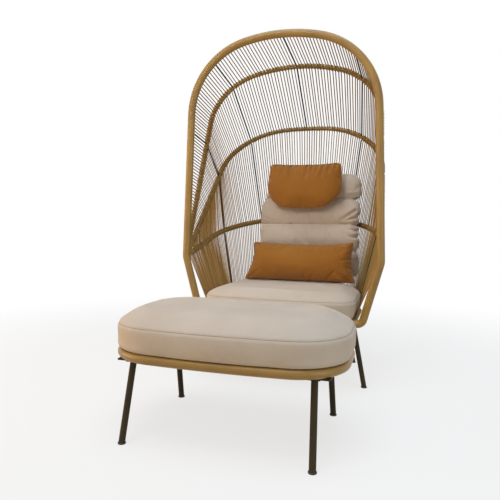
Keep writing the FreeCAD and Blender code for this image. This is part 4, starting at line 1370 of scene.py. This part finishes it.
@dataclass(kw_only=True)
class BackPad(Padding):
    """Back cushion: four rolls between sewn channels, flat in front and bowed behind.

    pulls gives the height of each nip in the sides, with its depth on the left and on the right;
    narrow is how far the top roll falls short on the left, which begins at the height
    narrow_from. box_low and box_high are the corners of the box that the sewn cushion fills
    before it is shifted.
    """

    half_width: float = 0.272
    height: float = 0.580
    half_depth: float = 0.072
    rear_bow: float = 0.064
    corner: float = 0.040
    crease: float = 0.030
    roll_shape: float = 3.6
    end_rounds: Pair = (0.025, 0.060)
    side_draw: float = 0.008
    seam_allowance: float = 0.004
    least_side: float = 0.03
    rear_shape: float = 0.55
    pulls: tuple[Triple, ...] = (
        (0.145, -0.004, 0.010), (0.222, 0.0, 0.012), (0.256, 0.0, 0.010), (0.290, -0.012, 0.012),
        (0.338, 0.0, 0.012), (0.435, -0.010, 0.024))
    pull_width: float = 0.012
    narrow: float = 0.038
    narrow_from: float = 0.39
    narrow_rise: float = 0.10
    channel_depth: float = 0.0035
    channel_width: float = 0.005
    shift: float = 0.011
    hold: float = 0.95
    box_low: Triple = (-0.2800, -0.0770, 0.0)
    box_high: Triple = (0.2800, 0.0775, 0.5795)
    gather_depth: float = 0.0016
    gather_reach: float = 0.05
    seed: int = 11
    folds: tuple[Fold, ...]

    def draw(self, level: float) -> float:
        """How far the cover is drawn in at a height: 1 at a channel, 0 in a roll's middle."""
        ends = (0.0, *CHANNELS, self.height)
        for low, high in zip(ends, ends[1:]):
            if level <= high:
                share = abs(2 * (level - low) / (high - low) - 1)
                return 1 - math.sqrt(max(0.0, 1 - share ** self.roll_shape))
        return 1.0

    def outline(self, level: float) -> np.ndarray:
        """Level section: flat front with round corners, thin sides and a bowed rear."""
        draw = self.draw(level)
        end = min(level, self.height - level)
        low_round, high_round = self.end_rounds
        edge = high_round if level > self.height / 2 else low_round
        round_off = edge - math.sqrt(max(0.0, edge ** 2 - max(0.0, edge - end) ** 2))
        width = self.half_width - draw * self.side_draw - round_off * 0.9
        cut = self.crease * draw + self.seam_allowance
        depth = self.half_depth - cut
        side = max(depth - self.rear_bow + cut, -depth + self.least_side)
        corner = min(self.corner, (side + depth) * 0.7)
        line = quarter(width - corner, -depth + corner, corner, -90, 12)
        for step in range(25):
            angle = math.pi / 2 * step / 24
            across = width * math.cos(angle) ** self.rear_shape
            line.append((across, side + (depth - side) * math.sin(angle)))
        half = np.array(line)
        plan = even_steps(np.vstack([half, (half * (-1, 1))[::-1]]), 200, True)
        return np.column_stack([plan, np.full(len(plan), level)])

    def start(self) -> bpy.types.Object:
        """Loft of level sections."""
        levels = np.concatenate([np.linspace(0.0, self.height, 84), CHANNELS])
        return mesh_object(self.name, *loft([self.outline(level) for level in np.sort(levels)]))

    def held(self, spots: np.ndarray) -> np.ndarray:
        """The channels are held."""
        return self.on_seam(np.abs(spots[:, 2, None] - CHANNELS).min(axis=1))

    def sewn(self, spots: np.ndarray) -> np.ndarray:
        """Channels cut sharper with gathers, then the nips, the folds and the narrow corner."""
        side = np.abs(spots[:, 0]) / self.half_width
        front = np.sign(spots[:, 1])
        for index, channel in enumerate(CHANNELS):
            away = np.abs(spots[:, 2] - channel)
            push = pucker(spots[:, 0], away, self.gather_reach, self.seed + index)
            push *= self.gather_depth * (0.4 + side)
            push += groove(away, self.channel_width) * self.channel_depth
            spots[:, 1] -= front * push
        for level, *nips in self.pulls:
            near = groove(spots[:, 2] - level, self.pull_width)
            for sign, nip in zip((-1, 1), nips):
                share = (sign * spots[:, 0] / self.half_width - 0.7) / 0.3
                spots[:, 0] -= sign * nip * np.clip(share, 0, 1) ** 1.5 * near
        crease = creased(spots[:, 0], spots[:, 2], self.folds)
        spots[:, 1] += np.where(front < 0, crease, 0.0)
        high = np.clip((spots[:, 2] - self.narrow_from) / self.narrow_rise, 0, 1)
        left = np.clip(-spots[:, 0] / self.half_width, 0, 1)
        spots[:, 0] += self.narrow * high * left ** 2
        spots = fitted(spots, self.box_low, self.box_high)
        spots[:, 0] += self.shift
        return spots


@dataclass
class EdgeSewn(Padding):
    """Base of the pieces that are sewn round their edge, in the plane Y = 0 of their own frame."""

    hold_reach: float = 0.55

    def held(self, spots: np.ndarray) -> np.ndarray:
        """The edge seam is held."""
        return self.on_seam(np.abs(spots[:, 1]))


@dataclass(kw_only=True)
class Pillow(EdgeSewn):
    """Knife-edge pillow: two panels sewn round the edge, with ears or round corners.

    corners are the corner radii at the bottom and the top, draws how far the bottom, the sides
    and the top are drawn in between the corners. rise moves the whole pillow up its own plane,
    ear pulls its top right corner up, and sway moves its bottom edge to the left. depth is the
    start shape's, full_depth that of the sewn pillow. shares are the ways from the edge to the
    middle at which a panel's rings lie.
    """

    bottom_width: float
    top_width: float
    height: float
    depth: float
    full_depth: float
    corners: Pair
    draws: Triple
    shear: float
    shift: float
    folds: tuple[Fold, ...]
    seed: int
    rise: float = 0.0
    ear: float = 0.0
    sway: float = 0.0
    shares: tuple[float, ...] = (0.0, 0.04, 0.1, 0.19, 0.3, 0.44, 0.6, 0.78, 0.92)
    gather_depth: float = 0.0026

    def outline(self) -> np.ndarray:
        """Edge of the panels in the pillow's plane."""
        half = self.height / 2
        below, above = self.bottom_width / 2, self.top_width / 2
        low, high = self.corners
        line = []
        for x, z, radius, first in ((above, half, high, 0), (-above, half, high, 90),
                                    (-below, -half, low, 180), (below, -half, low, 270)):
            line += quarter(x - math.copysign(radius, x), z - math.copysign(radius, z), radius,
                            first, 12)
        plan = even_steps(np.array(line), 260, True)
        across = plan[:, 0] / (below + (above - below) * (plan[:, 1] / self.height + 0.5))
        up = plan[:, 1] / half
        bottom, side, top = self.draws
        level = np.where(up > 0, top, bottom) * (1 - np.clip(np.abs(across), 0, 1) ** 2.5)
        inward = side * (1 - np.clip(np.abs(up), 0, 1) ** 2.5)
        plan[:, 1] -= np.sign(plan[:, 1]) * level * np.abs(up) ** 4
        plan[:, 0] -= np.sign(plan[:, 0]) * inward * np.abs(across) ** 4
        return plan

    def start(self) -> bpy.types.Object:
        """Two domed panels on shrinking outlines."""
        edge = self.outline()
        rings = []
        spine = (self.top_width - self.height) / 2
        core = np.column_stack([np.clip(edge[:, 0], -spine, spine), np.zeros(len(edge))])
        for sign, order in ((-1, self.shares[::-1]), (1, self.shares[1:])):
            for share in order:
                plan = edge * (1 - share) + core * share
                swell = sign * self.depth / 2 * (1 - (1 - share) ** 2) ** 0.6
                rings.append(np.insert(plan, 1, swell, axis=1))
        return mesh_object(self.name, *loft(rings))

    def sewn(self, spots: np.ndarray) -> np.ndarray:
        """Gathers run in from the edge seam, and the pillow fills its box before it is skewed."""
        away = np.abs(spots[:, 1])
        around = np.arctan2(spots[:, 2] * 2.2, spots[:, 0]) * 0.22
        rim = (np.abs(spots[:, 2]) / (self.height / 2)) ** 3
        rim = np.clip(rim + (np.abs(spots[:, 0]) * 2 / self.bottom_width) ** 6, 0, 1)
        push = pucker(around, away, self.depth * 0.55, self.seed) * self.gather_depth * rim
        push -= creased(spots[:, 0], spots[:, 2], self.folds)
        spots[:, 1] += np.sign(spots[:, 1]) * push
        width = max(self.bottom_width, self.top_width)
        half = np.array([width, self.full_depth, self.height]) / 2
        spots = fitted(spots, -half, half)
        right, _, high = np.clip(spots / half, 0, 1).T
        low = np.clip(-spots[:, 2] / half[2], 0, 1)
        spots[:, 0] += self.shear * spots[:, 2] + self.shift - self.sway * low ** 2
        spots[:, 2] += self.ear * right ** 4 * high ** 2 + self.rise
        return spots


@dataclass(kw_only=True)
class Pouch(EdgeSewn):
    """Flat stuffed bag with a seam round its edge, which hangs behind the back cushion."""

    middle: Triple
    width: float = 0.118
    height: float = 0.070
    depth: float = 0.0125
    corner: float = 0.008
    seam_width: float = 0.0016
    seam_draw: float = 0.012

    def start(self) -> bpy.types.Object:
        """Rounded bag, thickest in its middle."""
        half = self.height / 2
        plan = rounded_plan(self.width / 2, -half, half, self.corner, self.corner, 0.0, 160)
        rings = []
        for share in (-1.0, -0.86, -0.55, 0.0, 0.55, 0.86, 1.0):
            drawn = plan * (1 - 0.26 * abs(share) ** 3)
            rings.append(np.insert(drawn, 1, share * self.depth / 2, axis=1))
        return mesh_object(self.name, *loft(rings))

    def sewn(self, spots: np.ndarray) -> np.ndarray:
        """Edge seam drawn in, and the bag kept clear of the cushion in front of it."""
        draw = 1 - groove(np.abs(spots[:, 1]), self.seam_width) * self.seam_draw
        spots[:, (0, 2)] *= draw[:, None]
        spots[:, 1] = np.clip(spots[:, 1], -self.depth / 2, self.depth / 2)
        return spots + self.middle


# ---- Webbing, strap and hardware


@dataclass
class Webbing:
    """Flat straps across a ring, each with a folded hem at both ends.

    The straps sag a little in their middle, and their selvedges are edge wide and bevelled.
    """

    finishes: Finishes
    width: float = 0.050
    thickness: float = 0.0018
    hem: float = 0.030
    sag: float = 0.0012
    edge: float = 0.004
    bevel: float = 0.0004
    hem_swell: float = 1.1

    def section(self, half: float, share: float) -> tuple[list[Pair], list[Pair]]:
        """Under side and upper side across a strap, as (y, z), at a share of its half length."""
        dip = -self.sag * max(0.0, 1 - (share / 0.9) ** 2)
        in_hem = abs(share) > 1 - self.hem / half - 1e-6
        roof = dip + self.thickness * (self.hem_swell if in_hem else 1.0)
        reach = self.width / 2
        low, high = [], []
        for y, cut in ((-reach, self.bevel), (-reach + self.edge, 0.0),
                       (reach - self.edge, 0.0), (reach, self.bevel)):
            low.append((y, dip + cut))
            high.append((y, roof - cut))
        return low, high

    def straps(self, name: str, body: Body, node: str, spots: Sequence[Pair], level: float,
               middle: float = 0.0) -> None:
        """Build one ring's straps.

        Args:
            name: name of the piece.
            body: body that it rides on.
            node: node that it stands for.
            spots: half length and middle along Y of each strap.
            level: height of the straps' under side.
            middle: the straps' middle along X.
        """
        points, faces = [], []
        for half, row_y in spots:
            inner = 1 - self.hem / half
            shares = np.concatenate([np.linspace(-1, -inner, 4), np.linspace(-0.8, 0.8, 17),
                                     np.linspace(inner, 1, 4)])
            sides = [self.section(half, share) for share in shares]
            base, count = len(points), len(shares) * 4
            for side in (0, 1):
                points += [(middle + share * half, row_y + y, level + z)
                           for share, pair in zip(shares, sides) for y, z in pair[side]]
            for row in range(len(shares)):
                a = base + row * 4
                if row in (0, len(shares) - 1):
                    faces += [(b, b + 1, b + 1 + count, b + count) for b in range(a, a + 3)]
                if row == len(shares) - 1:
                    continue
                for b in range(a, a + 3):
                    faces.append((b, b + 1, b + 5, b + 4))
                    faces.append((b + count, b + count + 4, b + count + 5, b + count + 1))
                faces += [(b, b + 4, b + 4 + count, b + count) for b in (a, a + 3)]
        piece = mesh_object(name, points, faces, smooth=False)
        dress(piece, self.finishes.band)
        finish_piece(piece, body, [node])


@dataclass
class HeadStrap:
    """Band over the back cushion that joins the head pillow to the weight behind.

    route gives (y, z) in the back cushion's own frame, from the pillow over the top and down.
    """

    finishes: Finishes
    route: tuple[Pair, ...] = ((-0.105, 0.5803), (-0.06, 0.5803), (0.0, 0.5803), (0.060, 0.5803),
                               (0.0788, 0.5640), (0.0788, 0.52), (0.0788, 0.4290))
    width: float = 0.060
    thickness: float = 0.0018
    steps: int = 60
    smoothing: int = 8

    def build(self) -> None:
        """Sweep the band along its route."""
        line = even_steps(np.array(self.route), self.steps, False)
        for _ in range(self.smoothing):
            line[1:-1] = (line[:-2] + line[1:-1] * 2 + line[2:]) / 4
        slope = np.gradient(line, axis=0)
        normal = np.column_stack([-slope[:, 1], slope[:, 0]])
        normal /= np.linalg.norm(normal, axis=1, keepdims=True)
        reach = self.width / 2
        rings = []
        for spot, out in zip(line, line + normal * self.thickness):
            rings.append(np.array([(-reach, *spot), (reach, *spot), (reach, *out), (-reach, *out)]))
        piece = mesh_object("head_strap_band", *loft(rings), smooth=False)
        piece.data.transform(leaning(BACK_FOOT, BACK_LEAN))
        dress(piece, self.finishes.strap)
        finish_piece(piece, Body.HEAD, ["head_pillow_strap"])


class Bolts(NodeShape):
    """Hexagon bolts with washers and nuts, one at each point, head down.

    PARTS holds sides, radius below, radius above, foot and top of each part: the head's
    chamfer, the head, the washer, the nut, its chamfer and the thread's end.
    """

    PARTS = ((6, 0.0062, 0.0070, -0.0050, -0.0046), (6, 0.0070, 0.0070, -0.0046, -0.0004),
             (24, 0.0074, 0.0078, -0.0004, 0.0), (6, 0.0070, 0.0070, 0.0090, 0.0132),
             (6, 0.0070, 0.0060, 0.0132, 0.0138), (12, 0.0040, 0.0036, 0.0138, 0.0142))

    def disc(self, sides: int, low: float, high: float, foot: float, top: float) -> Term:
        """Upright prism, disc or cone between two heights, with its radius at each."""
        sockets = {"Vertices": sides, "Radius Bottom": low, "Radius Top": high,
                   "Depth": top - foot}
        made = self.graph.term("GeometryNodeMeshCone", None, sockets)
        sockets = {0: made, "Translation": (0, 0, foot)}
        return self.graph.term("GeometryNodeTransform", None, sockets)

    def build(self, graph: Graph, given: dict[str, Term]) -> None:
        """Head, washer, nut and thread joined, then set at each point."""
        join = graph.node("GeometryNodeJoinGeometry")
        for part in self.PARTS:
            graph.feed(join.inputs[0], self.disc(*part))
        self.close(self.copies(given, Term(graph, join.outputs[0])))


@dataclass
class Fittings:
    """Glides and bolts under both frames.

    profile is half of a glide's section, as (radius, height), from pole to pole.
    """

    finishes: Finishes
    profile: tuple[Pair, ...] = (
        (0.0, 0.0), (0.0120, 0.0), (0.0136, 0.0007), (0.0140, 0.0020), (0.0140, 0.0048),
        (0.0134, 0.0058), (0.0124, 0.0062), (0.0, 0.0062))
    sides: int = 40

    def turned(self, spots: Sequence[Pair]) -> tuple[list, list]:
        """Lathe the profile round upright axes, closed at both poles."""
        (_, floor), *middle, (_, roof) = self.profile
        turns = [2 * math.pi * side / self.sides for side in range(self.sides)]
        points, faces = [], []
        for x, y in spots:
            base = len(points)
            points += [(x + radius * math.cos(angle), y + radius * math.sin(angle), level)
                       for radius, level in middle for angle in turns]
            low = len(points)
            points += [(x, y, floor), (x, y, roof)]
            for side in range(self.sides):
                after = (side + 1) % self.sides
                last = low - self.sides
                faces.append((low, base + after, base + side))
                faces.append((low + 1, last + side, last + after))
                for a in range(base, last, self.sides):
                    b = a + self.sides
                    faces.append((a + side, a + after, b + after, b + side))
        return points, faces

    def glides(self, name: str, body: Body, node: str, feet: Sequence[Pair]) -> None:
        """Round plastic feet with a soft edge under the legs."""
        piece = mesh_object(name, *self.turned(feet))
        dress(piece, self.finishes.glide)
        finish_piece(piece, body, [node])

    def bolts(self, name: str, body: Body, node: str, spots: Sequence[Triple]) -> None:
        """Bolts through the leg plates."""
        piece = Bolts(name).run(name, np.array(spots), {}, Material=self.finishes.bolt)
        finish_piece(piece, body, [node])


# Folds as (across, up) of the start, (across, up) of the end, depth and width.
BACK_FOLDS = (
    Fold((0.252, 0.362), (0.165, 0.298), 0.011, 0.008), Fold((0.262, 0.326), (0.195, 0.306), 0.009),
    Fold((0.262, 0.250), (0.200, 0.264), 0.008, 0.007), Fold((0.262, 0.212), (0.210, 0.222), 0.007),
    Fold((0.255, 0.455), (0.150, 0.441), 0.007, 0.008), Fold((0.200, 0.290), (0.120, 0.303), 0.004),
    Fold((-0.100, 0.290), (-0.155, 0.270), 0.005), Fold((-0.262, 0.330), (-0.200, 0.304), 0.003),
    Fold((-0.255, 0.262), (-0.190, 0.276), 0.003))
LUMBAR_FOLDS = (
    Fold((0.268, 0.092), (0.190, 0.040), 0.006, 0.008), Fold((0.262, 0.020), (0.205, 0.012), 0.007),
    Fold((0.262, -0.030), (0.220, -0.020), 0.005),
    Fold((0.272, -0.090), (0.170, -0.045), 0.006, 0.009),
    Fold((-0.275, -0.092), (-0.190, -0.040), 0.006, 0.009),
    Fold((-0.255, 0.092), (-0.190, 0.050), 0.005), Fold((-0.265, -0.010), (-0.215, -0.005), 0.004),
    Fold((-0.060, 0.100), (-0.050, 0.060), 0.002),
    Fold((0.060, -0.100), (0.075, -0.055), 0.003), Fold((-0.120, -0.100), (-0.110, -0.060), 0.003))
# Gathers under the head pillow's top seam as (across, reach, depth).
HEAD_GATHERS = (
    (-0.160, 0.05, 0.006), (-0.120, 0.06, 0.008), (-0.078, 0.09, 0.014), (-0.048, 0.07, 0.012),
    (-0.018, 0.06, 0.010), (0.010, 0.10, 0.014), (0.042, 0.06, 0.009), (0.074, 0.07, 0.010),
    (0.104, 0.09, 0.013), (0.140, 0.07, 0.011), (0.172, 0.05, 0.007))
HEAD_SEAM = 0.108
HEAD_FOLDS = tuple(Fold((x, HEAD_SEAM), (x * 0.88, HEAD_SEAM - reach), depth * 1.3, 0.011)
                   for x, reach, depth in HEAD_GATHERS)

# Webbing as the straps' half lengths, first place along Y, step and height.
SEAT_STRAPS = ((0.30486, 0.341, 0.341, 0.341, 0.32469, 0.24596), 0.01945, 0.09956, 0.3303)
STOOL_STRAPS = ((0.33146, 0.39374, 0.402, 0.39374, 0.33146), STOOL_MIDDLE[1] - 0.178, 0.089, 0.3138)

# Places of feet as (x, y) and of bolts as (x, y) with their height, the other side mirrored.
CHAIR_FEET = ((0.397, 0.1336), (0.310, 0.5536))
CHAIR_BOLTS = ((0.306, 0.1336), (0.276, 0.1336), (0.236, 0.4586), (0.206, 0.4586))
CHAIR_BOLT_LEVEL = 0.2907
STOOL_FEET = ((0.3287, -0.2441), (0.3287, 0.2441))
STOOL_BOLTS = ((0.284, -0.1791), (0.284, 0.1791), (0.254, -0.1791), (0.254, 0.1791))
STOOL_BOLT_LEVEL = 0.2712


def both_sides(spots: Sequence[Pair], middle: Pair = (0.0, 0.0)) -> list[Pair]:
    """Places on both sides of a middle, from those on its right."""
    return [(middle[0] + sign * x, middle[1] + y) for x, y in spots for sign in (-1, 1)]


def strap_rows(halves: Sequence[float], first: float, step: float) -> list[Pair]:
    """Half length and place along Y of each strap."""
    return [(half, first + step * index) for index, half in enumerate(halves)]


class Armchair:
    """Builds every piece in order."""

    def __init__(self, frame: dict) -> None:
        """Keep the frame and make the finishes.
        """
        self.frame = frame
        self.finishes = Finishes()

    def paint_frame(self) -> None:
        """Give every node of the frame the finish of its slot."""
        paints = self.finishes.by_slot()
        slots = {row["node"]: row["material_slot"] for row in self.frame["record"]["subparts"]}
        for name, node in self.frame["nodes"].items():
            dress(node, paints[Slot(slots[name])])

    def cushions(self) -> list[Padding]:
        """Every stuffed piece with its sizes."""
        made = self.finishes
        flat = {"slack": 0.003, "fill": 0.85, "relax": 14}
        seat = BoxPad(
            "seat_pad", Body.SEAT, Slot.COVER, ("seat_cushion",), made.seat, half_width=0.362,
            front=-0.0570, back=0.6145, front_corner=0.104, back_corner=0.290, bow=0.014,
            bottom=0.3328, seam=SEAT_SEAM, top=0.4543, draw_in=0.014, droop=0.0, seed=3, **flat)
        stool = BoxPad(
            "footstool_pad", Body.STOOL_PAD, Slot.COVER, ("stool_cushion",), made.stool,
            half_width=0.427, front=-0.269, back=0.269, front_corner=0.196, back_corner=0.196,
            bow=0.012, bottom=0.3163, seam=STOOL_SEAM, top=0.4538, middle=STOOL_MIDDLE,
            draw_in=0.004, seed=9, **flat)
        back = BackPad(
            "back_pad", Body.BACK, Slot.COVER, ("back_cushion",), made.back, foot=BACK_FOOT,
            lean=BACK_LEAN, cap=0.014, folds=BACK_FOLDS)
        lumbar = Pillow(
            "lumbar_pad", Body.LUMBAR, Slot.PILLOW, ("lumbar_pillow",), made.pillow,
            foot=self.on_back("lumbar_pillow"), lean=BACK_LEAN, bottom_width=0.588,
            top_width=0.532, depth=0.122, full_depth=0.135, height=0.204, corners=(0.004, 0.004),
            draws=(0.005, 0.018, 0.010), shear=0.07, shift=-0.006, ear=0.014, folds=LUMBAR_FOLDS,
            voxel=0.006, seed=5)
        head = Pillow(
            "head_pad", Body.HEAD, Slot.PILLOW, ("head_pillow",), made.pillow,
            foot=self.on_back("head_pillow"), lean=BACK_LEAN, bottom_width=0.404,
            top_width=0.393, height=0.243, depth=0.086, full_depth=0.095, corners=(0.106, 0.020),
            draws=(-0.017, -0.004, 0.010), shear=0.02, shift=-0.006, rise=-0.003, sway=0.009,
            folds=HEAD_FOLDS, voxel=0.0055, seed=8, fill=0.65, relax=3)
        pouch = Pouch(
            "weight_bag", Body.HEAD, Slot.POUCH, ("head_pillow_weight",), made.pouch,
            foot=BACK_FOOT, lean=BACK_LEAN, middle=(0.0, 0.0852, 0.3953), voxel=0.003, cap=0.002)
        return [seat, stool, back, lumbar, head, pouch]

    def on_back(self, node: str) -> Triple:
        """Middle of a leaning pillow's node."""
        low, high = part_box(node)
        return tuple((low + high) / 2)

    def upholster(self) -> None:
        """Cut, swell and sew all the stuffed pieces."""
        pads = self.cushions()
        for pad in pads:
            pad.cut()
        scene = bpy.context.scene
        for number in range(1, SWELL_FRAMES + 1):
            scene.frame_set(number)
        for pad in pads:
            pad.gather()
        scene.frame_set(1)
        for pad in pads:
            pad.finish()

    def straps(self) -> None:
        """Webbing across both rings and the band over the back cushion."""
        webbing = Webbing(self.finishes)
        *rows, level = SEAT_STRAPS
        webbing.straps("seat_straps", Body.CHAIR, "seat_webbing", strap_rows(*rows), level)
        *rows, level = STOOL_STRAPS
        webbing.straps("footstool_straps", Body.STOOL, "stool_webbing", strap_rows(*rows), level,
                       STOOL_MIDDLE[0])
        HeadStrap(self.finishes).build()

    def hardware(self) -> None:
        """Glides under the feet and bolts through the plates of both frames."""
        kit = Fittings(self.finishes)
        kit.glides("chair_feet", Body.CHAIR, "chair_glides", both_sides(CHAIR_FEET))
        feet = both_sides(STOOL_FEET, STOOL_MIDDLE)
        kit.glides("footstool_feet", Body.STOOL, "stool_glides", feet)
        spots = [(*spot, CHAIR_BOLT_LEVEL) for spot in both_sides(CHAIR_BOLTS)]
        kit.bolts("chair_hex_bolts", Body.CHAIR, "chair_bolts", spots)
        spots = [(*spot, STOOL_BOLT_LEVEL) for spot in both_sides(STOOL_BOLTS, STOOL_MIDDLE)]
        kit.bolts("footstool_hex_bolts", Body.STOOL, "stool_bolts", spots)

    def build(self) -> None:
        """Dress the frame, then add each piece."""
        self.paint_frame()
        CordShell(self.finishes).build()
        self.straps()
        self.hardware()
        self.upholster()


def main() -> None:
    """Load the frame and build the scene."""
    logging.basicConfig(level=logging.INFO, format="%(name)s: %(message)s")
    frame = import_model()
    Studio().build()
    Armchair(frame).build()
    bpy.context.view_layer.update()


if __name__ == "__main__":
    main()
